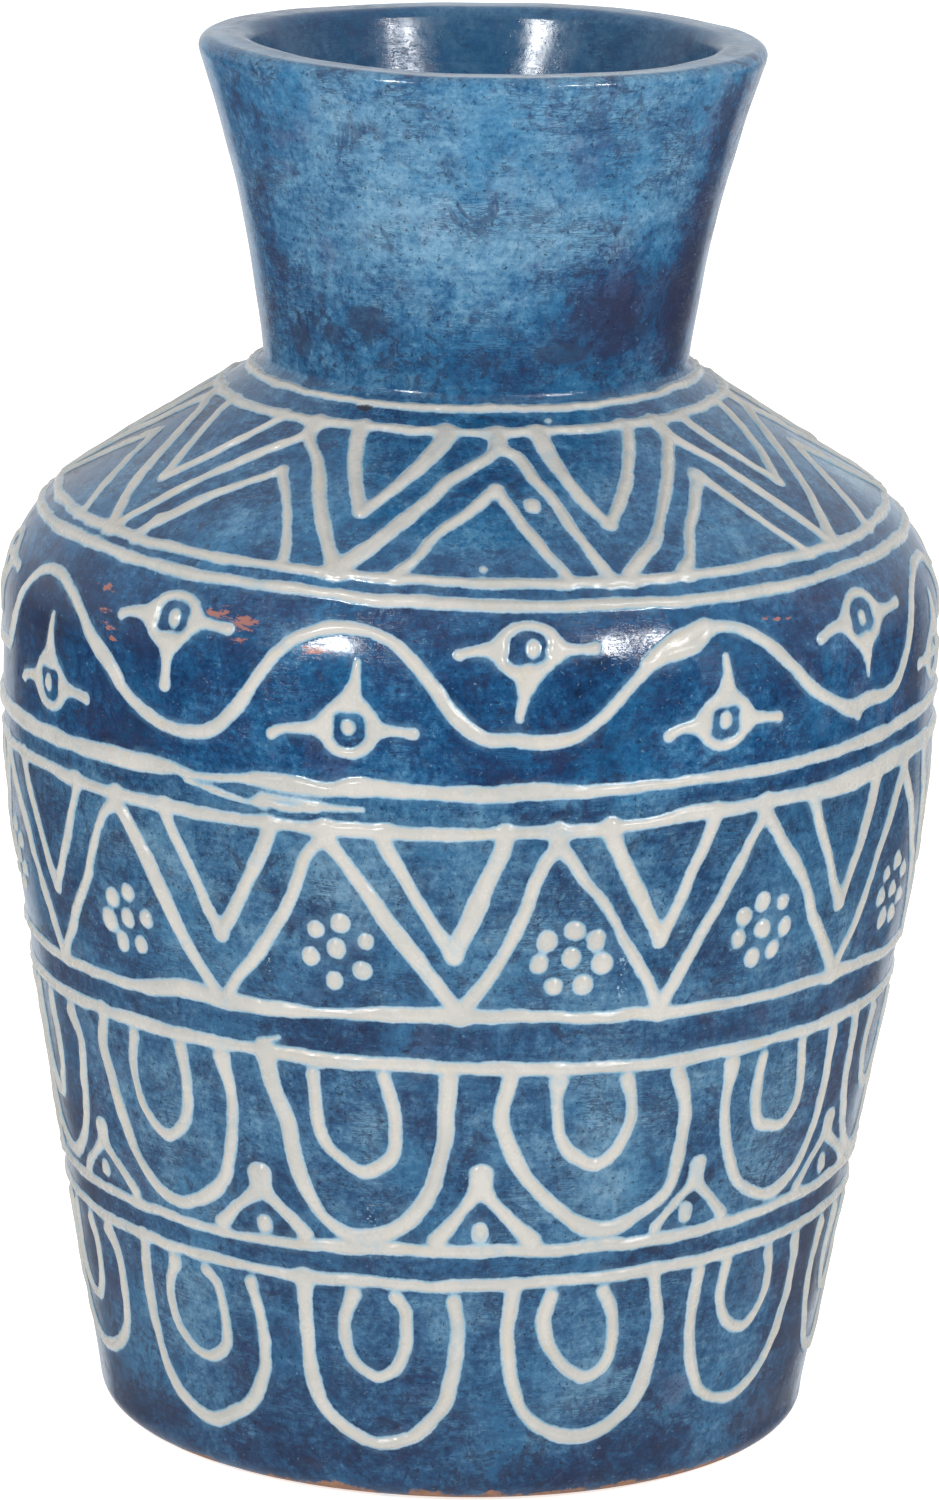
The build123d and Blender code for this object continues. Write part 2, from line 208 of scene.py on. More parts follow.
def smooth(points, closed=False):
    """Rounded path through given points (angle, s, half width), in short steps."""
    p = np.array(points, float)
    scale = np.array([np.radians(np.interp(p[:, 1].mean(), T_S, T_R)), 1.0, 1.0])
    q = p * scale
    if closed:
        turn = np.array([360 * scale[0], 0, 0])
        q = np.vstack([q[-2] - turn, q, q[1] + turn])
    else:
        q = np.vstack([2 * q[0] - q[1], q, 2 * q[-1] - q[-2]])
    out = []
    for a, b, c, d in zip(q, q[1:], q[2:], q[3:]):
        chords = ((a, b), (b, c), (c, d))
        before, here, after = (math.sqrt(max(np.hypot(*(y - x)[:2]), 1e-6)) for x, y in chords)
        leave = here * ((b - a) / before - (c - a) / (before + here)) + c - b
        arrive = here * ((d - c) / after - (d - b) / (here + after)) + c - b
        count = max(1, int(here ** 2 / PATH_STEP))
        for u in np.arange(count) / count:
            rest = 1 - u
            out.append(b * (1 + 2 * u) * rest ** 2 + leave * u * rest ** 2
                       + c * (3 - 2 * u) * u ** 2 - arrive * rest * u ** 2)
    out.append(q[-2])
    return np.array(out) / scale


def hand(path):
    """Gives a path the slight swelling and wander of slip squeezed out by hand."""
    if len(path) < 6:
        return path
    bell = np.exp(-0.5 * (np.arange(-9, 10) / 3.0) ** 2)
    bell /= np.sqrt((bell ** 2).sum())
    swell, drift = (np.convolve(rng.normal(size=len(path) + 18), bell, "valid") for _ in range(2))
    path = path.copy()
    path[:, 2] *= 1 + SWELL * swell
    path[:, 1] += WANDER * drift
    return path


def column(angle):
    return int((angle + 180) / 360 * COLS)


def lay(node, *paths, web=None):
    """Lays slip along paths of (angle, s, half width). With web, they flow together that much first."""
    low, high = min(p[:, 1].min() for p in paths) - FAR, max(p[:, 1].max() for p in paths) + FAR
    i0, i1 = np.clip(np.searchsorted(GRID_S, [low, high]), 0, ROWS)
    margin = FAR / math.radians(GRID_R[i0:i1].min())
    left, right = min(p[:, 0].min() for p in paths) - margin, max(p[:, 0].max() for p in paths) + margin
    width = min(COLS, int((right - left) / 360 * COLS) + 2)
    j0 = 0 if width == COLS else column(left)
    patch = np.ix_(np.arange(i0, i1), (j0 + np.arange(width)) % COLS)
    wx, wy = WARP_X[patch], WARP_Y[patch]
    summed = np.zeros(wx.shape)
    nearest = np.full(wx.shape, FAR)
    for path in paths:
        field = np.full(wx.shape, FAR)
        for a, b in zip(path, path[1:]):
            pad = FAR * 0.75 + max(a[2], b[2])
            k0 = max(0, int((min(a[1], b[1]) - pad - S_LOW) / FINE) - i0)
            k1 = min(i1 - i0, int((max(a[1], b[1]) + pad - S_LOW) / FINE) + 2 - i0)
            if k1 <= k0:
                continue
            r = np.radians(GRID_R[i0 + k0:i0 + k1])[:, None]
            span = pad / r.min()
            local = np.arange(column(min(a[0], b[0]) - span) - j0, column(max(a[0], b[0]) + span) + 2 - j0)
            theta = -180 + 360 * (local + j0) / COLS
            place = local % COLS if width == COLS else local
            keep = (place >= 0) & (place < width)
            place, theta = place[keep], theta[keep]
            px = (theta[None] - a[0]) * r + wx[k0:k1][:, place]
            py = (GRID_S[i0 + k0:i0 + k1] - a[1])[:, None] + wy[k0:k1][:, place]
            bx, by = (b[0] - a[0]) * r, b[1] - a[1]
            along = np.clip((px * bx + py * by) / np.maximum(bx * bx + by * by, 1e-9), 0, 1)
            away = np.hypot(px - along * bx, py - along * by) - a[2] - along * (b[2] - a[2])
            field[k0:k1, place] = np.minimum(field[k0:k1, place], away)
        summed += np.exp(-field / (web or WEB)) * (field < FAR)
        nearest = np.minimum(nearest, field)
    if web:
        nearest = -web * np.log(np.maximum(summed, math.exp(-FAR / web)))
        summed = np.exp(-nearest / WEB) * (nearest < FAR)
    total[patch] += summed
    held = fields.setdefault(node, np.full((ROWS, COLS), FAR))
    held[patch] = np.minimum(held[patch], nearest)


# Rings: (angle, height, width) listed across the front; the back carries on between its ends.
HAND_END = 75
RINGS = {
    "neck_ring": [(-75, 305.6, 2.6), (-30, 304.9, 2.4), (-10, 305.4, 2.7), (10, 306.0, 2.6), (30, 305.8, 2.5),
        (75, 306.3, 2.8)],
    "chevron_top_ring": [(-75, 299.8, 2.9), (-35, 299.7, 3.1), (0, 300.5, 2.8), (20, 300.9, 2.9),
        (45, 301.1, 3.0), (75, 301.3, 2.9)],
    "chevron_bottom_ring": [(-75, 269.8, 2.8), (-40, 268.8, 2.8), (0, 268.4, 2.7), (20, 268.3, 2.9),
        (40, 269.1, 2.8), (60, 269.6, 2.7), (75, 270.3, 2.8)],
    "vine_top_ring": [(-75, 265.3, 3.0), (-40, 264.4, 3.0), (-20, 263.7, 2.9), (0, 263.2, 3.0),
        (20, 262.9, 3.1), (40, 263.3, 3.0), (75, 264.7, 3.0)],
    "vine_bottom_ring": [(-75, 210.5, 5.0), (-50, 211.3, 4.6), (-40, 211.8, 4.6), (-35, 211.2, 2.6),
        (-32, 211.0, 1.6), (-28.5, 211.6, 1.9), (-25, 212.9, 3.6), (-20, 212.8, 4.5), (-16, 211.9, 3.0),
        (-12.5, 212.8, 5.0), (-5, 213.0, 4.4), (5, 213.0, 4.0), (11, 213.0, 3.6), (20, 213.7, 2.7),
        (40, 214.7, 2.8), (50, 215.5, 3.0), (60, 217.0, 3.4), (75, 218.0, 3.4)],
    "zigzag_top_ring": [(-75, 200.8, 2.8), (-60, 201.0, 3.0), (-30, 200.4, 3.0), (-15, 200.6, 3.0),
        (0, 201.6, 3.1), (20, 202.8, 3.2), (27, 204.4, 3.4), (35, 205.0, 3.2), (45, 205.5, 4.0),
        (52, 205.5, 5.8), (60, 207.0, 5.0), (75, 208.0, 5.0)],
    "zigzag_bottom_ring": [(-75, 145.0, 3.0), (-60, 144.8, 3.2), (-45, 145.2, 3.0), (-38, 148.0, 5.0),
        (-30, 147.0, 4.6), (-20, 146.8, 3.6), (-16.5, 147.2, 2.6), (-10, 148.2, 3.8), (-5, 148.7, 4.0),
        (10, 148.3, 3.4), (20, 147.7, 3.2), (30, 147.3, 3.2), (40, 147.8, 3.0), (60, 148.5, 3.2),
        (75, 147.0, 3.2)],
    "upper_scallop_top_ring": [(-75, 133.5, 3.4), (-45, 134.0, 3.4), (0, 133.3, 3.5), (20, 132.8, 3.3),
        (40, 133.3, 3.2), (60, 133.8, 3.4), (75, 134.0, 3.3)],
    "upper_scallop_bottom_ring": [(-75, 76.8, 3.0), (-60, 77.0, 3.0), (-35, 76.2, 2.3), (-20, 77.0, 3.0),
        (-10, 78.0, 3.2), (0, 78.3, 3.2), (25, 78.3, 3.2), (40, 79.3, 3.0), (50, 80.5, 3.2), (65, 81.5, 3.2),
        (75, 82.0, 3.2)],
    "lower_scallop_top_ring": [(-75, 67.8, 3.0), (-60, 67.5, 3.0), (-30, 67.0, 3.0), (-20, 67.0, 3.2),
        (0, 67.7, 3.3), (15, 68.3, 3.2), (30, 69.3, 3.2), (45, 70.3, 3.0), (60, 71.0, 3.1), (75, 71.7, 3.1)],
}
for knots in RINGS.values():
    (_, z0, w0), (_, z1, w1) = knots[-1], knots[0]
    for angle in (108, 145, 180, 215, 250):
        share = (angle - HAND_END) / (360 - 2 * HAND_END)
        z, width = z0 + (z1 - z0) * share, w0 + (w1 - w0) * share
        knots.append((angle, z + rng.normal(0, 0.35), width + rng.normal(0, 0.2)))
    knots.append((knots[0][0] + 360, *knots[0][1:]))
MERGED = (-25, -21.5, 8.3, -50.8, 29.7, -53.5, 65)   # angles where a U runs straight into its ring
SHORT = (12.9, -44.3)                                # angles where one starts short of it


def ring_height(ring, angle):
    knots = np.array(RINGS[ring])
    return float(np.interp((angle + HAND_END) % 360 - HAND_END, knots[:, 0], knots[:, 1]))


def line(points, width, ends=(), bead=0.0):
    """Path from given (angle, height) points. ends names the rings its first and last point run into.

    With a bead, the line starts and stops in a drop of that width which only just touches the ring above it.
    """
    points, width = list(points), np.atleast_1d(width)
    widths = np.interp(np.linspace(0, 1, len(points)), np.linspace(0, 1, len(width)), width).tolist()
    for place, ring in zip((0, -1), ends):
        angle = points[place][0]
        if not ring or angle in SHORT:
            continue
        if bead and angle not in MERGED:
            widths[place] = bead + 0.5 * math.sin(1.7 * angle)
            drop = 2.3 + 0.4 * math.cos(2.3 * angle) + widths[place] / 2
            points[place] = (angle, ring_height(ring, angle) - drop)
        else:
            at = len(points) if place else 0
            points.insert(at, (angle, ring_height(ring, angle)))
            widths.insert(at, widths[place])
    return hand(smooth(on_section((angle, z, w) for (angle, z), w in zip(points, widths))))


def blob(angle, z, radius, tall=0.0):
    """Round drop of slip, drawn out upwards by tall."""
    s = float(out_s(z * UNIT))
    return np.array([(angle, s - tall / 2, radius * UNIT), (angle, s + tall / 2, radius * UNIT)])


def draw(node, rows, ends=(), bead=0.0):
    """Lays listed lines, each given by its width (or the widths along it) and its points."""
    for width, *points in rows:
        lay(node, line(points, width, ends, bead))


def repeat(node, points, angle, lift, width, ends, bead=0.0, stretch=1.0, loose=0.4):
    """Lays a back motif, moved to its angle and height and drawn a little differently each time."""
    moved = [(angle + a * stretch + rng.normal(0, loose), z + lift + rng.normal(0, loose)) for a, z in points]
    lay(node, line(moved, width, ends, bead))


def mirrored(points):
    return [(-a, z) for a, z in points]


for ring, knots in RINGS.items():
    lay(ring, hand(smooth(on_section(knots), closed=True)))

# --- Vs round the dome, from the apex or tip to the foot
T, B = "chevron_top_ring", "chevron_bottom_ring"
CHEVRONS = [
    (3.4, (-36, 297.3), (-43, 291), (-50, 283), (-54, 276), (-56, 270.5)),
    (3.4, (-36, 297.3), (-29.5, 291), (-25, 283.5), (-21, 276), (-18.5, 270.5)),
    ((3.2, 4.8), (5, 297.6), (-4, 290), (-9, 283), (-14, 275), (-17, 270.5)),
    (3.3, (5, 297.6), (9, 295), (10.8, 291), (13.5, 286), (16, 278), (18.3, 270)),
    (3.3, (45, 298.3), (37.5, 290), (32, 283), (27, 276), (21.5, 270)),
    (3.4, (45, 298.3), (51, 290), (54, 283), (56.5, 275), (57, 270.5)),
    (3.3, (85, 298), (79, 294.5), (72, 288), (65, 280), (58.5, 270.5)),
    (3.3, (85, 298), (91, 292), (97, 284), (102, 276), (105, 270.5)),
    (3.3, (-80, 298), (-75, 295.5), (-68, 287), (-62, 277), (-57.5, 270.5)),
    (3.3, (-80, 298), (-87, 290), (-93, 281), (-98, 270.5)),
]
draw("chevron_arches", CHEVRONS, (T, B))
INNER_CHEVRONS = [
    (3.2, (-35.5, 288.3), (-40, 285), (-46, 279), (-49, 273.5), (-50.5, 270.5)),
    (2.2, (-35.5, 288.3), (-31, 283), (-27, 275.5), (-25.5, 270.5)),
    (2.9, (4, 288.5), (0, 284), (-5, 278.5), (-8, 272), (-9.5, 269.5)),
    (2.9, (4, 288.5), (7.5, 282), (11, 274), (13, 269.5)),
    (3.0, (43.5, 288.8), (39, 284), (34, 277.5), (31, 272), (29.5, 270)),
    (2.8, (43.5, 288.8), (46, 284), (48.5, 277), (51, 270)),
    (2.9, (83, 288), (78, 283), (73, 276), (69.5, 270.5)),
    (2.9, (83, 288), (88, 282), (92.5, 275), (95, 270.5)),
    (2.9, (-79, 288), (-75, 283.5), (-70.5, 277), (-67, 270.5)),
    (2.9, (-79, 288), (-84, 283), (-89, 276), (-92, 270.5)),
]
draw("inner_chevrons", INNER_CHEVRONS, (None, B))
lay("inner_chevrons", blob(-49.5, 274, 2.0))
lay("inner_chevrons", blob(43.4, 288.6, 2.1))
HANGING = [
    (2.8, (-58.2, 281.8), (-62.5, 290), (-67, 299)), (3.0, (-58.2, 281.8), (-52.5, 290), (-46, 299)),
    ((3.0, 4.4), (-17.3, 281.5), (-21, 289), (-25, 299)), ((3.0, 5.2), (-17.3, 281.5), (-12, 289.5), (-6, 299)),
    ((2.8, 4.6), (21.5, 280.5), (17.5, 289), (14.3, 300)), (3.1, (21.5, 280.5), (28, 289), (35.5, 300)),
    (2.9, (60.8, 283.8), (57.5, 291), (54, 300)), (2.9, (60.8, 283.8), (66.5, 291), (73, 300)),
    (2.9, (-98.5, 283), (-103, 291), (-107, 300)), (2.9, (-98.5, 283), (-94, 291), (-89, 300)),
]
draw("hanging_chevrons", HANGING, (None, T))
BIG = [(0, 297.5), (-6.5, 291), (-12.5, 283.5), (-17, 276), (-19.3, 270.5)]
SMALL = [(0, 288.3), (-4, 283.5), (-9, 277.5), (-12.3, 270.5)]
HUNG = [(0, 281.5), (-4.6, 290), (-9, 299)]
for angle, valley in ((125, 105), (165, 145), (205, 185), (243, 224)):
    lift = ring_height(B, angle) - 269.5
    for side in (list, mirrored):
        repeat("chevron_arches", side(BIG), angle, lift, 3.3, (T, B), loose=0.5)
        repeat("inner_chevrons", side(SMALL), angle, lift, 2.9, (None, B))
        repeat("hanging_chevrons", side(HUNG), valley, lift, 3.0, (None, T), loose=0.35)
for drop in ((9.9, 285.0, 2.0, 1.4), (1.6, 271.4, 0.85, 0.0), (17.5, 303.2, 0.6, 0.0)):
    lay("stray_drops", blob(*drop))

# --- vine and flowers
VINE = [(-75, 230), (-72.5, 239), (-70, 248.3), (-66.5, 254.2), (-63, 255.8), (-59, 254.6), (-55, 250),
        (-51, 242.5), (-48, 238), (-45, 231.3), (-42, 226.8), (-38, 223.4), (-35, 223), (-31, 225.3),
        (-28, 231), (-26, 238), (-23.5, 246.5), (-20.8, 252.4), (-17.5, 255.3), (-14, 256), (-9.5, 254),
        (-6.8, 249.5), (-4, 242), (-1, 233), (1.5, 228.6), (5, 227.8), (9.5, 227), (13, 228.3), (17, 235.5),
        (20.5, 244), (23.5, 249.3), (26.5, 252.5), (29.5, 255.8), (33.5, 255.2), (37, 252), (40, 247),
        (43, 240.5), (46, 234.5), (50, 229.5), (53, 226.8), (56, 227.7), (60, 227.3), (63, 229), (66, 236),
        (68.5, 245), (71, 252), (74.5, 256.5), (79, 258)]
VINE_WIDTH = 3.05
VINE_WIDTHS = {-48: 3.8, -17.5: 3.6, -14: 3.8, -1: 3.6, 1.5: 3.9, 9.5: 3.6, 26.5: 4.2, 29.5: 3.4, 53: 4.4,
               56: 4.2}
BACK_CRESTS = [(79, 258), (124, 256.5), (169, 257), (213, 256), (255, 256.5), (297, 255.8)]
for (c0, z0), (c1, z1) in zip(BACK_CRESTS, BACK_CRESTS[1:]):
    trough, quarter = (c0 + c1) / 2, (c1 - c0) / 4
    wave = [(c0 + 4.3, z0 - 1.2), (c0 + quarter, 241), (trough - 4.4, 228.5), (trough, 226.3),
            (trough + 4.4, 228.3), (c1 - quarter, 241.5), (c1 - 4.3, z1 - 1.2), (c1, z1)]
    VINE += [(a + rng.normal(0, 0.3), z + rng.normal(0, 0.4)) for a, z in wave if a < 283]
rows = on_section((a, z, VINE_WIDTHS.get(a, VINE_WIDTH)) for a, z in VINE)
rows.append((VINE[0][0] + 360, *rows[0][1:]))
lay("vine", hand(smooth(rows, closed=True)))
draw("vine", ((2.4, (21.5, 247.5), (25, 249.3), (28.5, 251.5), (30.5, 255.5)),
              (2.2, (22.5, 249.5), (26, 254.2), (30, 257)),
              (2.0, (53, 227), (54.3, 224.4)), (2.6, (-50, 240.5), (-47, 236), (-45.5, 233))))


def flower(node, angle, z, left, right, tail, wide=7.3, high=6.3, eye=(0, 0), round_tail=1.2):
    """Eye-shaped flower: a ring, two arms and a tail, webbed together, and a drop in the middle."""
    s = float(out_s(z * UNIT))
    per = math.radians(float(np.interp(s, T_S, T_R)))
    down = math.copysign(1, tail[1] - z)

    def spot(x, y, radius):
        return (angle + x / per, s + y, radius)

    def offset(end):
        return (end[0] - angle) * per, float(out_s(end[1] * UNIT)) - s

    ring = []
    for turn in np.radians(np.arange(0, 361, 20)):
        lump = 1 + 0.04 * np.sin(2 * turn + angle)
        ring.append(spot((wide + 0.6) * math.cos(turn) * lump, (high + 0.6) * math.sin(turn) * lump,
                         1.15 + 0.12 * math.sin(3 * turn + angle)))
    parts = [np.array(ring)]
    for end in (left, right):
        x, y = offset(end)
        side = math.copysign(1, x)
        parts.append(smooth([spot(side * (wide + 0.9), y * 0.1, 2.3), spot(side * (wide + 3.2), y * 0.15, 1.6),
                             spot(x * 0.82, y * 0.45, 1.1), spot(x, y, 1.4)]))
    x, y = offset(tail)
    parts.append(smooth([spot(0, down * (high + 1.6), 2.9), spot(x * 0.3, down * (high + 4.6), 1.9),
                         spot(x * 0.6, y * 0.74, 1.2), spot(x, y, round_tail)]))
    lay(node, *parts, web=1.1)
    lay("flower_eyes", blob(angle + eye[0], z + eye[1], 1.5, 1.1))


# Flower: angle, height, ends of its arms and tail, half width, half height, the eye's offset, tail's end.
U, L = "upper_flowers", "lower_flowers"
for row in (
        (U, -38, 252.8, (-46.3, 251.0), (-29.8, 252.3), (-38.2, 234.6), 7.2, 5.9, (0.2, 0.2), 1.6),
        (U, 7, 252.3, (-1.2, 250.9), (15.2, 252.4), (6.2, 233.6), 7.3, 6.3, (0.6, 0.1), 0.9),
        (U, 56, 251.2, (47.3, 248.2), (65.2, 251.9), (56.4, 235), 7.6, 6.4, (0, -0.3), 0.5),
        (L, -60.3, 225.8, (-68.3, 223.8), (-51.8, 225), (-60.2, 245), 7.1, 6.3, (-0.4, -0.2), 0.6),
        (L, -13.8, 229.3, (-23.2, 225.9), (-6.2, 229), (-13, 247.5), 6.6, 6.3, (0, 0.1), 0.6),
        (L, 32, 229.8, (24.4, 227.2), (39.8, 228.9), (32.2, 248), 6.6, 6.3, (0, 0.2), 0.7),
        (L, 79, 231.5, (71.5, 231.2), (86.5, 231), (79, 249), 7.3, 6.3, (0, 0), 0.7)):
    flower(*row)
for node, angles, z, wide, ends in (
        (U, (101.5, 146.5, 191, 234, 276.5), 252.3, 7.3, ((-8.6, 250.5), (8.4, 251.2), (0, 234.5))),
        (L, (124, 169, 213, 255), 229.6, 6.9, ((-8.6, 227.5), (8.4, 228.5), (0, 248)))):
    for angle in angles:
        moved = [(angle + a + rng.normal(0, 0.4), end + rng.normal(0, 0.4)) for a, end in ends]
        flower(node, angle, z + rng.normal(0, 0.4), *moved, wide=wide)

# --- zigzag, the Vs hanging in it and the dot clusters
T, B = "zigzag_top_ring", "zigzag_bottom_ring"
ZIGZAG = [
    (3.0, (-77, 199), (-73, 187), (-70, 180), (-66, 165), (-61.8, 147)),
    (3.2, (-46.5, 198.5), (-48.7, 194), (-51, 184), (-53, 173), (-57, 160), (-61, 147)),
    ((3.6, 5.0, 4.4), (-46, 198.5), (-44.3, 194), (-40, 179), (-36, 163), (-32, 149)),
    (3.0, (-16.8, 198), (-18.7, 193), (-21, 179), (-25, 164), (-30, 149)),
    (3.7, (-16.2, 198), (-14, 192), (-9, 176), (-4, 161), (-0.6, 150.5)),
    (3.5, (11, 199), (9.3, 192), (7, 177), (4, 163), (0.3, 150)),
    (2.7, (11.2, 199), (13.2, 192), (17, 181), (20.5, 168), (25, 150)),
    (3.2, (38.3, 202), (36.8, 196), (33, 180), (29.5, 166), (25.6, 149)),
    (3.3, (38.7, 202), (41, 195), (45.5, 182), (49.5, 167), (54.6, 150)),
    (3.1, (67.8, 203.5), (65.8, 196), (62.5, 180), (59.5, 165), (55.3, 150)),
    (3.2, (68.2, 203.5), (70, 197), (75, 181), (79, 166), (83, 149)),
    (3.2, (98, 201.5), (95, 190), (90.5, 172), (83.6, 149)),
    (3.2, (-77.4, 199), (-81, 187), (-86, 169), (-92, 149)),
]
draw("zigzag", ZIGZAG, (T, B))
HANGING_VEES = [
    (3.0, (-60.8, 166.5), (-65, 182), (-69, 199)), (3.2, (-60.8, 166.5), (-57, 183), (-54, 199)),
    (3.2, (-30.3, 166.5), (-34.3, 183), (-38, 199)), (3.4, (-30.3, 166.5), (-26.5, 183), (-23.5, 199)),
    (3.4, (-1, 166), (-5.5, 183), (-9.5, 199)), ((3.6, 5.0, 4.4), (-1, 166), (2, 183), (4.8, 200)),
    ((3.3, 4.6), (24.7, 169.5), (20.7, 186), (17.5, 201)), (3.2, (24.7, 169.5), (28, 186), (31, 203)),
    (3.2, (54, 170), (50, 187), (46.5, 204)), ((3.2, 4.6), (54, 170), (57.4, 187), (60, 205)),
    (3.2, (83.5, 169), (79.5, 187), (76, 206)), (3.2, (83.5, 169), (87.5, 187), (91, 205)),
    (3.2, (-92, 167), (-96, 183), (-99.5, 199)), (3.2, (-92, 167), (-88, 183), (-84.5, 199)),
]
draw("hanging_vees", HANGING_VEES, (None, T))
DOTS = [
    (-45.4, 165, -45, 172.5, -48, 170, -49, 162.7, -47, 157.3, -43.5, 158, -42, 166),
    (-15.1, 166.5, -17.7, 171.8, -14.6, 174.2, -11.5, 169.5, -18.6, 163.7, -12, 161, -15.6, 157.3),
    (13.4, 165.5, 13.6, 173.6, 10.3, 170.9, 16.4, 170.4, 9.5, 164.3, 17.3, 163.4, 11.4, 157.6, 14.9, 157.6),
    (39.8, 168.2, 36.6, 172.8, 39.5, 176.3, 42.8, 175, 36.0, 166.2, 43.6, 167.7, 42, 161.3, 38.6, 160.2),
    (69.5, 166.7, 66.4, 172.8, 69.9, 175, 73.1, 171.2, 65.5, 166.5, 73.2, 163.3, 67.4, 159.2, 71, 158.9),
]
for number, angle in enumerate((98, 128, 158, 188, 218, 250, 283)):
    cluster, count = [angle, 167], 6 + number % 2
    for k in range(count):
        turn = 2 * math.pi * (k + 0.3 * number) / count
        cluster += [angle + 3.45 * math.sin(turn) + rng.normal(0, 0.15),
                    167 + 8 * math.cos(turn) + rng.normal(0, 0.4)]
    DOTS.append(cluster)
for cluster in DOTS:
    for angle, z in zip(cluster[::2], cluster[1::2]):
        lay("dot_clusters", blob(angle + rng.normal(0, 0.05), z, 2.3 + rng.normal(0, 0.2),
                                 abs(rng.normal(0, 0.5))))
LEG = [(0, 199), (-2.2, 191), (-7.5, 174), (-11.5, 160), (-14.6, 149)]
HUNG = [(0, 167), (-3.9, 183), (-7.2, 200)]
for angle, sides in ((98, (113,)), (128, (113, 143)), (158, (143, 173)), (188, (173, 203)), (218, (203, 234)),
                     (250, (234, 266.5))):
    for edge in sides:
        side = mirrored if edge > angle else list
        repeat("zigzag", side(LEG), angle, 0, 3.2, (T, B), stretch=abs(edge - angle) / 14.9, loose=0.3)
for angle in (113, 143, 173, 203, 234):
    for side in (list, mirrored):
        repeat("hanging_vees", side(HUNG), angle, 1.5, 3.3, (None, T), loose=0.35)

# --- upper scallops, the Us inside them, tents and their dots
T, B = "upper_scallop_top_ring", "upper_scallop_bottom_ring"
UPPER_SCALLOPS = [
    (3.6, (-53.5, 131), (-54.5, 122), (-53.5, 112), (-52, 102), (-50, 93), (-46.5, 85.3), (-41.5, 82),
     (-36.5, 86), (-33, 93), (-31.5, 104), (-30.8, 118), (-31.8, 131)),
    ((5.2, 4.6, 3.6, 3.6, 3.6), (-25, 131), (-24.5, 124), (-23, 116), (-22, 104), (-20.5, 94), (-18, 85.5),
     (-13.5, 81), (-8, 84.5), (-4.5, 91.5), (-2.5, 102), (-1.5, 115), (-1.3, 131)),
    (3.7, (6.5, 131), (5.5, 120), (6.8, 110), (10, 99), (14, 90), (18, 85), (21, 83.5), (26, 87), (30, 93),
     (31, 103), (31.2, 118), (29.5, 131)),
    (3.5, (38, 131), (37.8, 120), (38.3, 110), (40, 100), (43, 90.5), (49, 85.3), (54.5, 89.3), (57.5, 98),
     (58.8, 112), (58.7, 131)),
    (3.5, (-83, 131), (-83, 117), (-81, 101), (-77, 88), (-70.8, 82.3), (-66, 88), (-63, 98), (-61.5, 112),
     (-61, 122), (-62.5, 131)),
    (3.5, (65, 131), (65.5, 118), (67, 104), (71, 92), (77.5, 85), (84, 91), (88, 103), (90, 118), (90, 131)),
]
draw("upper_scallops", UPPER_SCALLOPS, (T, T), 4.5)
UPPER_INNER = [
    (3.1, (-47, 131), (-48, 120), (-47, 109), (-42.7, 101.7), (-39, 108), (-38, 120), (-38.5, 131)),
    (3.1, (-18.8, 131), (-17.8, 110), (-15, 103.8), (-11.8, 101), (-8.5, 106), (-8, 116), (-9.5, 131)),
    (3.0, (12.9, 128.8), (12.8, 120), (14, 110), (16.5, 105.3), (19, 103.3), (21.5, 108), (23.3, 118),
     (22.2, 131)),
    (3.2, (43.7, 131), (43, 120), (44.5, 109), (47, 106.4), (49.7, 106.2), (52.3, 112), (52, 122), (51.3, 131)),
    (3.0, (-77, 131), (-77, 117), (-76, 104), (-72.8, 98.7), (-70.5, 106), (-69.5, 115), (-70, 131)),
    (3.0, (72, 131), (71.5, 118), (74, 108), (78, 104.5), (81.5, 110), (83, 120), (83, 131)),
]
draw("upper_inner_scallops", UPPER_INNER, (T, T), 3.9)
lay("upper_inner_scallops", blob(12.9, 128.6, 2.1))
# Tent: angle and height of its top, angles of its feet, angle and height of its drop.
TENTS = [(-58.5, 98, -65.3, -51.3, -58.8, 83.5), (-27.3, 98, -34, -21, -27, 81.3),
         (3.2, 103, -2.5, 10.7, 3.4, 84), (34.5, 101, 28.7, 40, 33.7, 85),
         (62.8, 103, 56.3, 72, 63.5, 87.5), (-87, 98, -93.5, -80, -87, 84)]
for angle in (94, 124, 154, 184, 214, 244):
    lift = ring_height(B, angle) - 78
    TENTS.append((angle + rng.normal(0, 0.5), 99.5 + lift + rng.normal(0, 1), angle - 6.5 + rng.normal(0, 0.5),
                  angle + 6.5 + rng.normal(0, 0.5), angle + rng.normal(0, 0.4), 84 + lift))
TENT_WIDTHS = np.array([4.9, 4.3, 3.2, 3.2, 4.2])
for angle, top, left, right, dot_angle, dot_z in TENTS:
    heavy = 1 if abs(angle + 12) < 16 else 0.78
    for foot in (left, right):
        low, reach = ring_height(B, foot), foot - angle
        bow = [(angle + 0.06 * reach, top - 1.2), (angle + 0.09 * reach, top - 6.5),
               (angle + 0.34 * reach, top - 0.46 * (top - low)), (angle + 0.68 * reach, low + 7.6),
               (foot, low + 3.2)]
        lay("tents", line(bow, TENT_WIDTHS * heavy))
    lay("tent_dots", blob(dot_angle, dot_z, 1.9, 1.1 + abs(rng.normal(0, 0.5))))


def whole(half):
    """Both sides of a U, from its left half."""
    return half + mirrored(half[-2::-1])


def scallops_behind(row, top, ring, level, outer, inner, width, bead, inner_bead):
    """Scallops round the back and a smaller U in each, moved with a ring whose usual height is level."""
    for angle in (109, 139, 169, 199, 229, 259):
        lift = (ring_height(ring, angle) - level) * 0.5
        repeat(row + "_scallops", whole(outer), angle, lift, width, (top, top), bead)
        repeat(row + "_inner_scallops", whole(inner), angle + rng.normal(0, 0.6), lift, 3.1, (top, top),
               inner_bead, loose=0.35)


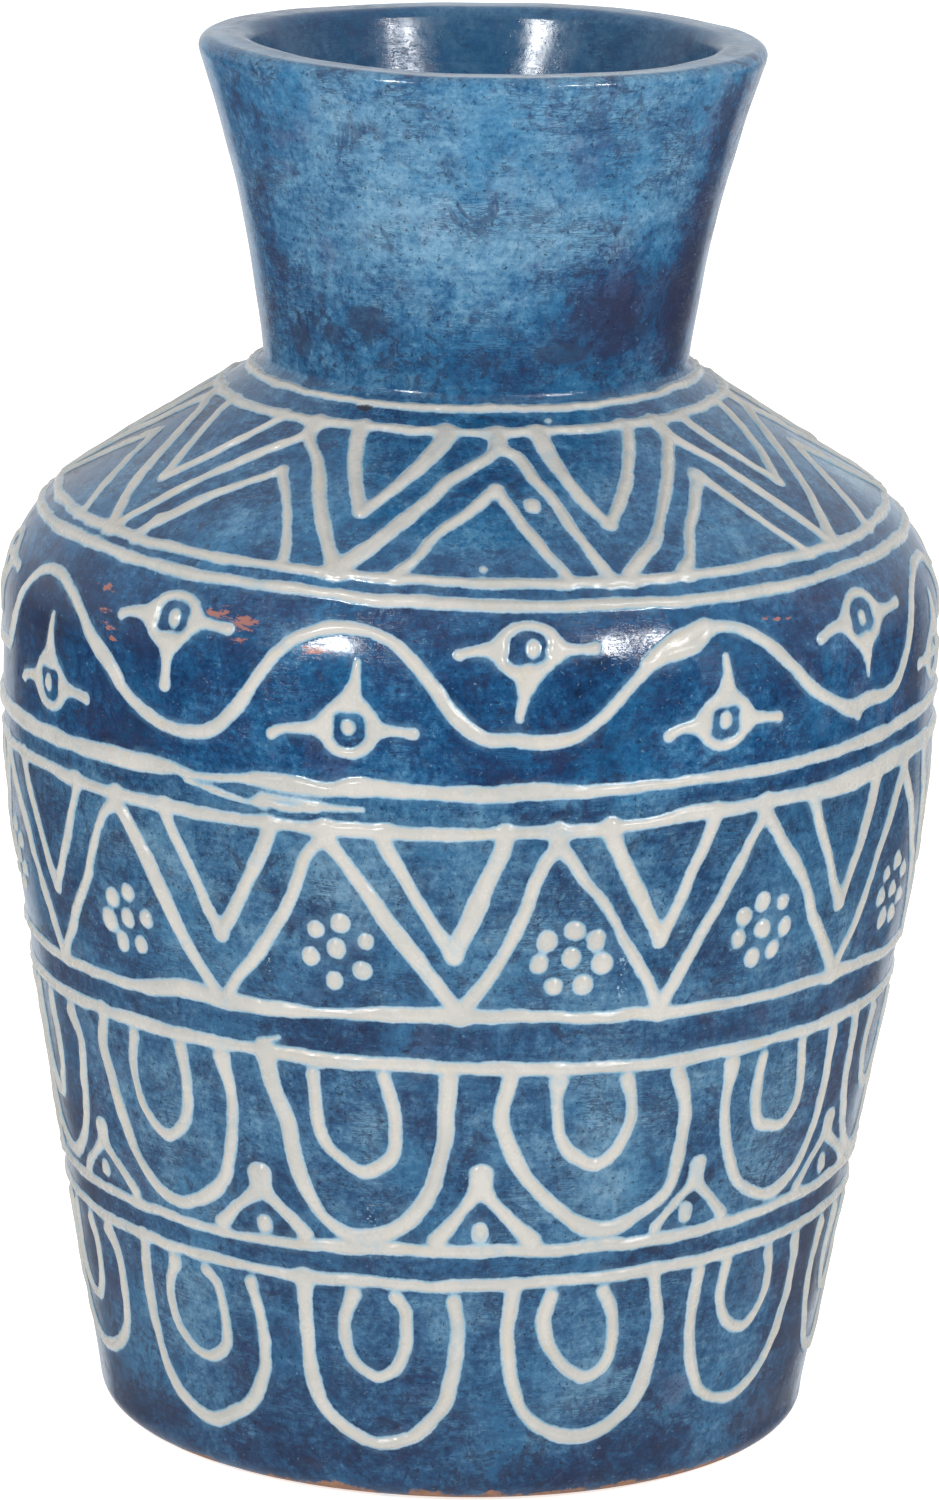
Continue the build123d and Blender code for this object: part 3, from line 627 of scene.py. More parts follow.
OUTER_U = [(-11.3, 131), (-11.5, 118), (-10, 103), (-7, 91), (-3.4, 85), (0, 83)]
INNER_U = [(-4.3, 131), (-4.7, 117), (-3.4, 106), (0, 102)]
scallops_behind("upper", T, B, 78, OUTER_U, INNER_U, 3.6, 4.5, 3.9)

# --- lower scallops
T = "lower_scallop_top_ring"
LOWER_SCALLOPS = [
    (3.6, (-50.8, 65), (-51.3, 52), (-50.5, 38), (-49, 27.5), (-46, 20.5), (-40.5, 16.5), (-36, 19.3),
     (-31.5, 25.3), (-29, 36), (-28.8, 50), (-30, 65)),
    (3.6, (-21.5, 66), (-21.5, 50), (-21, 38), (-19.5, 28), (-15.5, 21.3), (-10.5, 18), (-5.5, 21),
     (-1.5, 29.3), (0.3, 42), (0.8, 55), (0, 65)),
    (3.6, (8.3, 65), (7.8, 52), (8.8, 40), (10.5, 30), (14, 23.2), (20, 19.9), (24.5, 22.3), (28.5, 29.3),
     (30.3, 40), (31.2, 52), (29.7, 67)),
    (3.4, (37.3, 66), (37.2, 52), (38.5, 38), (40.8, 29.2), (44.5, 24.5), (49, 23.2), (54, 27.3), (57.5, 36),
     (60, 50), (59.8, 60), (59.2, 68)),
    (3.4, (-81, 66), (-81, 50), (-79.5, 36), (-76, 27), (-70, 23.7), (-64, 27.3), (-60, 34.3), (-58.8, 45),
     (-59.3, 58), (-61.5, 66)),
    (3.4, (68.5, 66), (67.8, 55), (69, 42), (71.5, 32), (74, 27), (79, 23.5), (84.5, 28), (88.5, 40),
     (89.5, 54), (89.5, 67)),
]
draw("lower_scallops", LOWER_SCALLOPS, (T, T), 4.3)
LOWER_INNER = [
    (3.0, (-44.3, 62.6), (-46, 55), (-45.5, 45), (-43, 38.7), (-39.3, 35.9), (-35.8, 40), (-35.3, 50),
     (-36.3, 60), (-38, 65)),
    (3.1, (-14.3, 65), (-15.7, 55), (-15, 45), (-13, 40.5), (-11, 38.4), (-8, 42), (-6.7, 50), (-7, 60),
     (-8.3, 65)),
    (3.2, (13.9, 64.5), (13, 56), (14.5, 47), (17, 41), (20, 37.9), (23, 41.5), (24, 50), (23, 60), (21.8, 66)),
    (3.0, (42.7, 67), (42.3, 57), (44, 49.3), (46.3, 46), (49, 44.8), (51.5, 48), (53, 55), (52.7, 62),
     (52, 68)),
    (3.0, (-76, 65), (-76.3, 54), (-74.5, 42), (-70.3, 38.5), (-67.5, 45), (-66.8, 55), (-68.3, 65)),
    (3.0, (75, 67), (74.5, 56), (76, 46), (79.3, 41.5), (82.7, 47), (83.5, 57), (83, 67)),
]
draw("lower_inner_scallops", LOWER_INNER, (T, T), 3.8)
lay("lower_inner_scallops", blob(-44.3, 62.8, 2.2))
OUTER_U = [(-11, 66), (-11.2, 50), (-9.7, 36), (-6, 25), (0, 20)]
INNER_U = [(-4, 66), (-4.5, 54), (-3.4, 43), (0, 39)]
scallops_behind("lower", T, T, 68.5, OUTER_U, INNER_U, 3.5, 4.3, 3.8)

# --- runs and splashes beside the rings
draw("vine_bottom_ring", ((1.0, (-34.5, 209.2), (-29, 206.9), (-24, 205.3)),
                          (1.7, (-25, 206.4), (-21, 205.7), (-17.5, 206.4)),
                          (0.8, (-24.5, 207.9), (-20, 208.3), (-16.5, 207.2), (-12, 206.9))))
draw("upper_scallop_top_ring", (((0.8, 1.1), (-26.0, 136.8), (-24.6, 137.4), (-23.2, 138.4)),))

gap = np.minimum(-WEB * np.log(np.maximum(total, math.exp(-FAR / WEB))), FAR)


FULL_AT = 1.75               # how far inside its edge a line reaches its full height
CROWN, SKIRT, FILM = 0.92, 0.06, 0.03                # heights of a line's body, its fringe and the least slip
ROOT = -0.5                  # how far the slip reaches into the clay


def rise(distance):
    """Height of the slip above the clay at a signed distance from its edge (negative inside)."""
    inside = np.clip(-distance / FULL_AT, 0, 1)
    body = CROWN * (1 - (1 - inside) ** 2.2)
    skirt = SKIRT * np.clip(1 - np.maximum(distance, 0) / EDGE, 0, 1)
    return FILM + skirt + body


TOP = surface(GRID_T[None], GRID_S[:, None], rise(gap) * (1 + 0.10 * soft_noise(9 * CELL) * (gap < 0)))
UNDER = surface(GRID_T[None], GRID_S[:, None], ROOT)
NORMAL = unit(np.cross(np.roll(TOP, -1, 1) - np.roll(TOP, 1, 1), np.gradient(TOP, axis=0)))
print("slip field", ROWS, COLS, flush=True)

# Clouds in the glaze: angle, height, half width and half height, strength (below 0 is darker).
CLOUDS = [
    (-42, 322, 10, 7, -0.7), (-26, 323, 7, 5, -0.7), (-12, 318, 12, 5, -0.7), (12, 316, 16, 4, -0.5),
    (46, 331, 14, 11, -1.2), (32, 329, 10, 9, -1.3), (66, 355, 6, 26, -1.6), (65, 326, 8, 13, -2.0),
    (24, 378, 6, 9, -0.9), (62, 384, 12, 8, -0.8), (-58, 386, 14, 7, -0.8), (-62, 345, 12, 25, -0.6),
    (0, 358, 34, 18, 0.55), (-30, 350, 20, 20, 0.25), (30, 352, 14, 10, 0.35), (-20, 385, 24, 6, 0.15),
    (5, 279, 16, 7, 0.4), (-33, 274, 16, 6, 0.5), (45, 276, 16, 6, 0.3), (-62, 240, 9, 12, -0.8),
    (4, 222, 18, 9, -0.6), (70, 236, 10, 14, -0.9), (-24, 236, 10, 14, 0.4), (27, 236, 10, 20, 0.35),
    (50, 238, 16, 14, 0.15), (-45, 216, 14, 6, -0.5), (-14, 186, 12, 10, 0.9), (14, 170, 22, 18, 0.6),
    (-34, 175, 14, 18, 0.2), (46, 165, 15, 20, 0.2), (-64, 170, 14, 24, -0.4), (70, 165, 14, 24, -0.5),
    (20, 118, 10, 20, 0.7), (-12, 116, 8, 14, 0.8), (-42, 112, 9, 16, 0.3), (49, 112, 10, 14, 0.4),
    (2, 92, 10, 10, -0.6), (-28, 92, 9, 9, -0.5), (34, 94, 8, 10, -0.4), (-65, 100, 12, 24, -0.4),
    (21, 94, 7, 5, 1.1), (-11.5, 111, 5, 7, 0.7), (66, 60, 18, 60, -0.85), (-70, 60, 14, 60, -0.45),
    (20, 44, 12, 16, 0.6), (-10, 50, 14, 18, 0.3), (-40, 46, 12, 16, 0.3), (49, 42, 12, 16, 0.1),
    (0, 14, 60, 7, -0.4), (30, 16, 14, 7, -0.7), (-55, 12, 20, 8, -0.6), (60, 15, 16, 9, -0.5),
    (70, 50, 16, 25, -0.5),
]
MAUVES = [
    (48, 328, 16, 13, 0.9), (32, 330, 12, 11, 1.2), (24, 378, 7, 9, 0.8), (58, 384, 12, 8, 0.7),
    (-36, 345, 20, 16, 0.35), (-50, 372, 14, 9, 0.4), (10, 320, 16, 6, 0.5), (55, 262, 30, 6, 0.5),
    (-55, 262, 24, 6, 0.4), (50, 240, 16, 12, 0.6), (-14, 218, 8, 5, 0.6), (68, 220, 12, 8, 0.6),
    (60, 120, 10, 16, 0.3), (35, 30, 14, 9, 0.4), (60, 70, 22, 70, 0.8), (-62, 70, 18, 70, 0.8),
    (0, 150, 60, 14, 0.25), (0, 30, 60, 20, 0.3),
]
for angle in range(95, 270, 13):
    for z in range(20, 390, 26):
        CLOUDS.append((angle + rng.normal(0, 4), z + rng.normal(0, 7), rng.uniform(8, 24), rng.uniform(6, 20),
                       rng.normal(0, 0.6)))
    MAUVES.append((angle + rng.normal(0, 4), rng.uniform(20, 390), rng.uniform(8, 20), rng.uniform(6, 14), 0.6))


CLOUD_SPREAD = 1.25          # a cloud fades out this much beyond its half sizes


def clouds(table, theta, s):
    """Sum of a table's soft patches at each angle and distance along the outside."""
    theta, s = np.broadcast_arrays(theta, s)
    r = np.radians(np.interp(s, T_S, T_R))
    value = np.zeros(theta.shape)
    for angle, z, wide, tall, strength in table:
        x = ((theta - angle + 180) % 360 - 180) * r / (wide * CLOUD_SPREAD)
        y = (s - float(out_s(z * UNIT))) / (tall * CLOUD_SPREAD)
        value += strength * np.exp(-(x * x + y * y))
    return value


TONE, MAUVE = (clouds(table, GRID_T[None], GRID_S[:, None]) for table in (CLOUDS, MAUVES))

# ---------------------------------------------------------------- meshes


def new_mesh(name, points, loops, sizes, normals=None, attributes=()):
    """Mesh from points in metres, polygons' vertices one after another and their sizes."""
    mesh = bpy.data.meshes.new(name)
    mesh.vertices.add(len(points))
    mesh.vertices.foreach_set("co", np.ascontiguousarray(points, np.float32).ravel())
    mesh.loops.add(len(loops))
    mesh.loops.foreach_set("vertex_index", np.ascontiguousarray(loops, np.int32))
    mesh.polygons.add(len(sizes))
    mesh.polygons.foreach_set("loop_start", (np.cumsum(sizes) - sizes).astype(np.int32))
    mesh.update(calc_edges=True)
    mesh.validate()
    mesh.shade_smooth()
    for key, values in attributes:
        layer = mesh.attributes.new(key, "FLOAT", "POINT")
        layer.data.foreach_set("value", np.ascontiguousarray(values, np.float32))
    if normals is not None and len(normals) == len(points):
        mesh.normals_split_custom_set_from_vertices(normals.tolist())
    elif normals is not None:
        mesh.normals_split_custom_set(normals.tolist())
    return linked(name, mesh)


def linked(name, data):
    obj = bpy.data.objects.new(name, data)
    bpy.context.scene.collection.objects.link(obj)
    return obj


def stand_in(piece, node):
    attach(piece, "root")
    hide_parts(node)
    return piece


def numbered(mask, start):
    """Array with a running number wherever mask is true."""
    ids = np.full(mask.shape, -1)
    ids[mask] = start + np.arange(mask.sum())
    return ids


def contour(phi):
    """Cuts the grid at phi = 0 and returns its inside as cells: vertex picks, polygons and border edges."""
    inside = phi < 0
    right, right_phi = np.roll(inside, -1, 1), np.roll(phi, -1, 1)
    cross_h, cross_v = inside != right, inside[:-1] != inside[1:]
    flat = numbered(inside, 0)
    ids_h = numbered(cross_h, inside.sum())
    ids_v = numbered(cross_v, inside.sum() + cross_h.sum())

    def blend(array):
        """Values at the picked vertices, from values on the grid."""
        array = array if array.ndim == 3 else array[..., None]
        beside = np.roll(array, -1, 1)
        th = (phi / np.where(cross_h, phi - right_phi, 1))[cross_h][:, None]
        tv = (phi[:-1] / np.where(cross_v, phi[:-1] - phi[1:], 1))[cross_v][:, None]
        return np.concatenate([array[inside], array[cross_h] * (1 - th) + beside[cross_h] * th,
                               array[:-1][cross_v] * (1 - tv) + array[1:][cross_v] * tv])

    case = inside[:-1] + 2 * right[:-1] + 4 * right[1:] + 8 * inside[1:]
    beside = np.roll(flat, -1, 1)
    corner = (flat[:-1], beside[:-1], beside[1:], flat[1:])
    edge = (ids_h[:-1], np.roll(ids_v, -1, 1), ids_h[1:], ids_v)
    loops, sizes, border = [], [], []
    for number in range(1, 16):
        here = case == number
        if not here.any():
            continue
        picked, cut = [], []
        for k in range(4):
            now, after = number >> k & 1, number >> (k + 1) % 4 & 1
            if now:
                picked.append(corner[k][here])
                cut.append(False)
            if now != after:
                picked.append(edge[k][here])
                cut.append(True)
        loops.append(np.stack(picked, 1).ravel())
        sizes.append(np.full(int(here.sum()), len(picked)))
        for k in range(len(picked)):
            m = (k + 1) % len(picked)
            if cut[k] and cut[m]:
                border.append(np.stack([picked[k], picked[m]], 1))
    return blend, np.concatenate(loops), np.concatenate(sizes), np.concatenate(border)


PAINTED = ("gap", "tone", "mauve")                   # values painted on the meshes for the glaze


def slip_piece(node, others):
    """Closed mesh of one node's slip: its top, an underside in the clay and a rim between them."""
    phi = np.maximum(gap - EDGE, fields[node] - others)
    phi[0], phi[-1] = 1.0, 1.0
    blend, loops, sizes, border = contour(phi)
    top, under, normal = blend(TOP), blend(UNDER), blend(NORMAL)
    ends = np.cumsum(sizes)
    flipped = loops[np.repeat(2 * ends - sizes, sizes) - 1 - np.arange(len(loops))] + len(top)
    rim = np.stack([border[:, 1], border[:, 0], border[:, 0] + len(top), border[:, 1] + len(top)], 1)
    painted = [(key, np.tile(blend(field)[:, 0], 2)) for key, field in zip(PAINTED, (gap, TONE, MAUVE))]
    points, normals = np.concatenate([top, under]), np.concatenate([normal, -normal])
    loops = np.concatenate([loops, flipped, rim.ravel()])
    sizes = np.concatenate([sizes, sizes, np.full(len(rim), 4)])
    return stand_in(new_mesh(node + "_slip", points, loops, sizes, normals, painted), node)


stack = np.stack(list(fields.values()))
order = np.argsort(stack, 0)[:2]
best, second = np.take_along_axis(stack, order, 0)
slip = [slip_piece(node, np.where(order[0] == index, second, best)) for index, node in enumerate(fields)]
print("slip faces", sum(len(piece.data.polygons) for piece in slip), flush=True)

COLUMNS = 560
STEP = 1.6
LEAST_STEP, MOST_TURN, PROBE = 0.3, 6.0, 0.2         # MOST_TURN in degrees from one row to the next


def stations(low, high):
    """Rows along the section from low to high, closer where it bends tightly."""
    s = low
    rows = [low]
    while s < high - 1e-6:
        lean0, lean1 = np.interp([s, s + PROBE], T_S, T_LEAN)
        bend = abs(lean1 - lean0) / PROBE
        s = min(high, s + min(STEP, max(LEAST_STEP, MOST_TURN / max(bend, 1e-6))))
        rows.append(s)
    if len(rows) > 2 and rows[-1] - rows[-2] < 0.1:
        rows.pop(-2)
    return np.array(rows)


def gap_at(s):
    """The slip's distance field at the clay's columns, for rows at those distances along the section."""
    row = (s - S_LOW) * (ROWS - 1) / (S_HIGH - S_LOW)
    i = np.clip(row.astype(int), 0, ROWS - 2)
    share = np.clip(row - i, 0, 1)[:, None]
    j = np.arange(COLUMNS) * COLS / COLUMNS
    j0, u = j.astype(int), (j - j.astype(int))[None]
    lower, upper = (gap[k][:, j0] * (1 - u) + gap[k][:, (j0 + 1) % COLS] * u for k in (i, i + 1))
    outside = (s > S_LOW) & (s < S_HIGH)
    return np.where(outside[:, None], lower * (1 - share) + upper * share, FAR)


def clay_piece(node, *stretches):
    """Closed ring of clay whose section is made of stretches of the profile, joined end to end."""
    theta = (360 * np.arange(COLUMNS) / COLUMNS - 180)[None]
    parts = []
    for low, high in stretches:
        s = stations(low, high)
        rows = s[:, None]
        p = surface(theta, rows)
        up = surface(theta, rows + 0.05) - surface(theta, rows - 0.05)
        n = unit(np.cross(np.roll(p, -1, 1) - np.roll(p, 1, 1), up))
        parts.append((p, n, gap_at(s), clouds(CLOUDS, theta, rows), clouds(MAUVES, theta, rows)))
    p, n, *painted = (np.concatenate(column) for column in zip(*parts))
    index = np.arange(len(p) * COLUMNS).reshape(len(p), COLUMNS)
    beside = np.roll(index, -1, 1)
    quads = np.stack([index, beside, np.roll(beside, -1, 0), np.roll(index, -1, 0)], -1).reshape(-1, 4)
    normals = n.reshape(-1, 3)[quads]
    for row in np.cumsum([len(part[0]) for part in parts]) - 1:    # flat faces where two stretches are joined
        faces = np.arange(row * COLUMNS, (row + 1) * COLUMNS)
        corners = p.reshape(-1, 3)[quads[faces]]
        normals[faces] = unit(np.cross(corners[:, 2] - corners[:, 0], corners[:, 3] - corners[:, 1]))[:, None]
    piece = new_mesh(node + "_glazed", p.reshape(-1, 3), quads.ravel(), np.full(len(quads), 4),
                     normals.reshape(-1, 3), [(key, values.ravel()) for key, values in zip(PAINTED, painted)])
    return stand_in(piece, node)


clay = [clay_piece("lower_wall", (0.0, out_s(LOWER_SEAM)), (in_s(LOWER_SEAM), T_S[-1]))]
for node, low, high in (("belly_wall", LOWER_SEAM, UPPER_SEAM), ("shoulder_wall", UPPER_SEAM, SHOULDER_SEAM),
                        ("shoulder_dome", SHOULDER_SEAM, CREASE)):
    clay.append(clay_piece(node, (out_s(low), out_s(high)), (in_s(high), in_s(low))))
clay.append(clay_piece("neck_and_lip", (out_s(CREASE), in_s(CREASE))))


def base_slab():
    """Base slab, with the faint rings of trimming underneath and a slight dip on top."""
    cols = 240
    low_r = np.concatenate([np.arange(1.0, 88.5, 1.5), [89.0, 89.8]])
    high_r = np.concatenate([[90.9, 91.6], np.arange(90.0, 1.0, -2.5), [1.0]])
    trimming = 0.35 + 0.16 * np.sin(low_r / 2.1) + 0.10 * np.sin(low_r / 0.9)
    low_z = trimming * np.clip((89.8 - low_r) / 3, 0, 1)
    high_z = FLOOR - 0.2 - 0.5 * np.cos(high_r / 92 * 1.5) + 0.1 * np.sin(high_r / 3.0)
    r = np.concatenate([low_r, high_r])[:, None]
    z = np.concatenate([low_z, high_z])[:, None]
    t = np.radians(360 * np.arange(cols) / cols - 180)[None]
    drift = 0.08 * np.sin(2 * t + r / 17) * np.clip((88 - r) / 10, 0, 1)
    p = np.stack([r * np.sin(t), -r * np.cos(t), z + drift], -1).reshape(-1, 3) * UNIT
    index = np.arange(len(r) * cols).reshape(len(r), cols)
    beside = np.roll(index, -1, 1)
    quads = np.stack([index[:-1], beside[:-1], beside[1:], index[1:]], -1).reshape(-1, 4)
    loops = np.concatenate([quads.ravel(), index[0][::-1], index[-1]])
    sizes = np.concatenate([np.full(len(quads), 4), [cols, cols]])
    piece = new_mesh("foot_slab_base", p * MM, loops, sizes, None, [("gap", np.full(len(p), FAR))])
    return stand_in(piece, "foot_slab")


slab = base_slab()

# ---------------------------------------------------------------- materials


def linear(r, g, b):
    """sRGB bytes to a linear colour."""
    shares = (r / 255, g / 255, b / 255)
    return (*(v / 12.92 if v <= 0.04045 else ((v + 0.055) / 1.055) ** 2.4 for v in shares), 1.0)


class Nodes:
    """Short hand for building a node tree. Colours are three sRGB bytes, or four linear values."""

    def __init__(self, tree):
        self.tree = tree

    def add(self, kind, values=None, **settings):
        node = self.tree.nodes.new(kind)
        for key, value in settings.items():
            setattr(node, key, value)
        for key, value in (values or {}).items():
            self.plug(node.inputs[key], value)
        return node

    def plug(self, socket, value):
        if isinstance(value, bpy.types.NodeSocket):
            self.tree.links.new(value, socket)
        elif socket.type == "RGBA" and len(value) == 3:
            socket.default_value = linear(*value)
        else:
            socket.default_value = value

    def vector(self, operation, a, b=(0.0, 0.0, 0.0)):
        node = self.add("ShaderNodeVectorMath", {0: a, 1: b}, operation=operation)
        return node.outputs["Value" if operation in ("LENGTH", "DISTANCE") else 0]

    def math(self, operation, a, b=0.0):
        return self.add("ShaderNodeMath", {0: a, 1: b}, operation=operation).outputs[0]

    def plus(self, a, b, share=1.0):
        return self.math("ADD", a, b if share == 1.0 else self.times(b, share))

    def minus(self, a, b, share=1.0):
        return self.math("SUBTRACT", a, b if share == 1.0 else self.times(b, share))

    def times(self, a, b):
        return self.math("MULTIPLY", a, b)

    def noise(self, where, scale, detail=4.0, rough=0.55, warp=0.0, offset=0.0):
        """3-D noise from 0 to 1, with a different part of the pattern for each offset."""
        if offset:
            where = self.vector("ADD", where, (offset, offset * 0.7, offset * 1.3))
        values = {"Vector": where, "Scale": scale, "Detail": detail, "Roughness": rough, "Distortion": warp}
        return self.add("ShaderNodeTexNoise", values).outputs["Fac"]

    def ramp(self, value, low, high, out_low=0.0, out_high=1.0, smooth=True):
        kind = "SMOOTHSTEP" if smooth else "LINEAR"
        values = {"Value": value, "From Min": low, "From Max": high, "To Min": out_low, "To Max": out_high}
        return self.add("ShaderNodeMapRange", values, interpolation_type=kind).outputs["Result"]

    def spots(self, low, high, where, scale, detail, rough, warp, offset, out_low=0.0, out_high=1.0):
        """Noise, turned into patches between low and high."""
        return self.ramp(self.noise(where, scale, detail, rough, warp, offset), low, high, out_low, out_high)

    def stray(self, size, spread, where, scale, detail, rough, offset):
        """Noise between -size and size, to make an outline ragged."""
        noise = self.noise(where, scale, detail, rough, 0.0, offset)
        return self.ramp(noise, 0.5 - spread, 0.5 + spread, -size, size, False)

    def mix(self, share, a, b):
        node = self.add("ShaderNodeMix", data_type="RGBA", blend_type="MIX")
        for key, value in ((0, share), (6, a), (7, b)):
            self.plug(node.inputs[key], value)
        return node.outputs[2]

    def tint(self, base, share, amount, colour):
        """Base colour with another laid over it by that amount, where share is high."""
        return self.mix(self.times(share, amount), base, colour)

    def colours(self, value, stops):
        node = self.add("ShaderNodeValToRGB", {"Fac": value})
        elements = node.color_ramp.elements
        while len(elements) < len(stops):
            elements.new(0.5)
        for element, (place, colour) in zip(elements, stops):
            element.position = place
            element.color = colour if len(colour) == 4 else linear(*colour)
        return node.outputs["Color"]

    def greys(self, value, stops, green=1.0, blue=1.0):
        return self.colours(value, [(place, (grey, grey * green, grey * blue, 1)) for place, grey in stops])


# Weight of each noise in the glaze's tone: size, detail, roughness, warp, offset.
TONE_PARTS = ((0.40, 19, 4, 0.6, 0.4, 0.0), (0.56, 75, 7, 0.72, 0.5, 3.1), (0.46, 360, 5, 0.75, 0.2, 7.7),
              (0.26, 760, 3, 0.7, 0.0, 17.7))
# How light the glaze is at each share of the vase's height, 0.5 being neutral.
BANDS = ((0.0, 0.38), (0.035, 0.49), (0.16, 0.49), (0.175, 0.41), (0.19, 0.41), (0.20, 0.53), (0.33, 0.51),
         (0.342, 0.42), (0.36, 0.42), (0.375, 0.52), (0.49, 0.52), (0.508, 0.47), (0.525, 0.47), (0.54, 0.38),
         (0.64, 0.38), (0.665, 0.43), (0.70, 0.50), (0.76, 0.45), (0.79, 0.56), (1.0, 0.60))
BLUES = ((0.20, (6, 26, 50)), (0.36, (9, 46, 82)), (0.48, (22, 71, 110)), (0.58, (49, 98, 134)),
         (0.70, (86, 129, 157)), (0.88, (124, 160, 182)))
BURNT = (44, 36, 42)


def glaze_group():
    """Sponged cobalt glaze: colour, roughness and height from a point and what is painted on the mesh."""
    tree = bpy.data.node_groups.new("sponged_glaze", "ShaderNodeTree")
    for name, way, kind in (("Point", "INPUT", "Vector"), ("Gap", "INPUT", "Float"), ("Tone", "INPUT", "Float"),
                            ("Mauve", "INPUT", "Float"), ("Color", "OUTPUT", "Color"),
                            ("Roughness", "OUTPUT", "Float"), ("Height", "OUTPUT", "Float")):
        tree.interface.new_socket(name, in_out=way, socket_type="NodeSocket" + kind)
    n = Nodes(tree)
    point, distance, patch, mauve = n.add("NodeGroupInput").outputs[:4]
    z = n.add("ShaderNodeSeparateXYZ", {0: point}).outputs[2]
    brushed = n.vector("MULTIPLY", point, (1.0, 1.0, 9.0))
    tone = -0.405
    for weight, *pattern in TONE_PARTS:
        tone = n.plus(tone, n.noise(point, *pattern), weight)
    tone = n.plus(tone, n.noise(brushed, 60, 5, 0.65, 0.0, 6.6), 0.22)
    tone = n.plus(tone, patch, 0.15)
    ragged = n.plus(z, n.stray(0.004, 0.2, point, 40, 3, 0.6, 12.0))
    band = n.greys(n.math("DIVIDE", ragged, 0.4 * UNIT), BANDS)
    tone = n.plus(tone, n.minus(band, 0.5), 0.85)
    base = n.colours(tone, BLUES)
    purple = n.ramp(n.plus(n.noise(point, 60, 6, 0.7, 0.5, 21.0), mauve, 0.16), 0.56, 0.72)
    base = n.tint(base, purple, 0.38, n.mix(tone, (44, 40, 66), (92, 92, 122)))
    teal = n.spots(0.48, 0.64, point, 30, 4, 0.6, 0.4, 33.0)
    base = n.tint(base, teal, 0.45, n.mix(tone, (4, 52, 96), (40, 124, 166)))
    where = n.ramp(n.minus(n.noise(point, 33, 3, 0.6, 0.0, 47.0), patch, 0.22), 0.42, 0.60)
    spotted = n.minus(n.noise(point, 130, 6, 0.7, 0.8, 45.0), patch, 0.06)
    blotch = n.times(n.ramp(spotted, 0.53, 0.61), where)
    base = n.tint(base, blotch, 0.62, (26, 36, 66))
    vein = 0.0
    for source, scale, width, offset in ((point, 70, 0.034, 57.0), (brushed, 150, 0.055, 59.0)):
        wander = n.math("ABSOLUTE", n.minus(n.noise(source, scale, 5, 0.6, 0.6, offset), 0.5))
        vein = n.math("MAXIMUM", vein, n.ramp(wander, width, width * 0.3))
    vein = n.times(vein, n.spots(0.44, 0.60, point, 48, 4, 0.65, 0.0, 55.0))
    base = n.tint(base, vein, 0.62, (26, 38, 74))
    crackle = n.times(n.spots(0.55, 0.62, point, 330, 5, 0.75, 0.4, 27.0),
                      n.spots(0.46, 0.60, point, 62, 4, 0.65, 0.3, 29.0))
    base = n.tint(base, crackle, 0.55, (32, 42, 76))
    speck = n.spots(0.60, 0.68, point, 700, 3, 0.65, 0.0, 51.0)
    base = n.tint(base, speck, 0.70, (14, 26, 50))
    base = n.tint(base, n.spots(0.63, 0.73, point, 620, 4, 0.65, 0.0, 63.0), 0.30, (140, 178, 202))
    haze = n.times(n.ramp(distance, 2.4, 0.3), n.spots(0.38, 0.7, point, 130, 4, 0.6, 0.0, 71.0, 0.0, 0.40))
    base = n.mix(haze, base, (100, 140, 168))
    # Painted shade: the inside of the neck and mouth is tinted a darker, deeper blue (inner); the same mask
    # also makes it a little rougher.
    radius = n.vector("LENGTH", n.vector("MULTIPLY", point, (1.0, 1.0, 0.0)))
    wall_middle = n.plus(0.054 * UNIT, n.minus(z, 0.31 * UNIT), 0.232)
    inner = n.ramp(n.minus(wall_middle, radius), 0.0, 0.003 * UNIT)
    base = n.tint(base, inner, 0.62, (4, 66, 106))
    lower = n.ramp(z, 0.216 * UNIT, 0.204 * UNIT)
    base = n.add("ShaderNodeHueSaturation", {"Color": base, "Saturation": n.minus(1.0, lower, 0.05),
                                             "Value": n.minus(1.0, lower, 0.19)}).outputs[0]
    rough = n.plus(n.spots(0.3, 0.7, point, 210, 4, 0.6, 0.0, 5.0, 0.06, 0.16), inner, 0.06)
    rough = n.plus(rough, blotch, 0.10)
    relief = n.times(n.noise(point, 110, 3, 0.5, 0.0, 9.0), 0.7)
    relief = n.plus(relief, n.noise(point, 620, 3, 0.6, 0.0, 19.0), 0.16)
    relief = n.minus(n.minus(relief, speck, 0.10), vein, 0.10)
    n.add("NodeGroupOutput", {0: base, 1: rough, 2: relief})
    return tree


GLAZE = glaze_group()


def fresh(name):
    material = bpy.data.materials.new(name)
    material.use_nodes = True
    material.node_tree.nodes.clear()
    return material, Nodes(material.node_tree)


def finish_material(n, colour, rough, relief, depth=0.00025):
    bump = n.add("ShaderNodeBump", {"Strength": 0.55, "Distance": depth, "Height": relief})
    shader = n.add("ShaderNodeBsdfPrincipled", {"Base Color": colour, "Roughness": rough,
                                                "Normal": bump.outputs[0], "IOR": 1.5})
    n.add("ShaderNodeOutputMaterial", {0: shader.outputs[0]})


def object_point(n):
    return n.add("ShaderNodeTexCoord").outputs["Object"]


def glaze_of(n):
    point = object_point(n)
    gaps, tones, mauves = (n.add("ShaderNodeAttribute", attribute_name=key).outputs["Fac"]
                           for key in PAINTED)
    glaze = n.add("ShaderNodeGroup", node_tree=GLAZE)
    for socket, value in zip(glaze.inputs, (point, gaps, tones, mauves)):
        n.plug(socket, value)
    return point, gaps, glaze.outputs


def place_on_wall(angle, z):
    return surface(np.array([angle]), np.array([out_s(z * UNIT)]))[0].tolist()


SOFT_RIM = 0.0010


def oval(n, point, angle, z, wide, tall, edge):
    """1 inside an oval spot on the wall with those half sizes, 0 outside, with edge added to its outline."""
    wide, tall = wide * MM * UNIT, tall * MM * UNIT
    off = n.vector("SUBTRACT", point, place_on_wall(angle, z))
    away = n.vector("LENGTH", n.vector("MULTIPLY", off, (1.0, 1.0, wide / tall)))
    return n.ramp(n.plus(away, edge), wide, wide - SOFT_RIM)


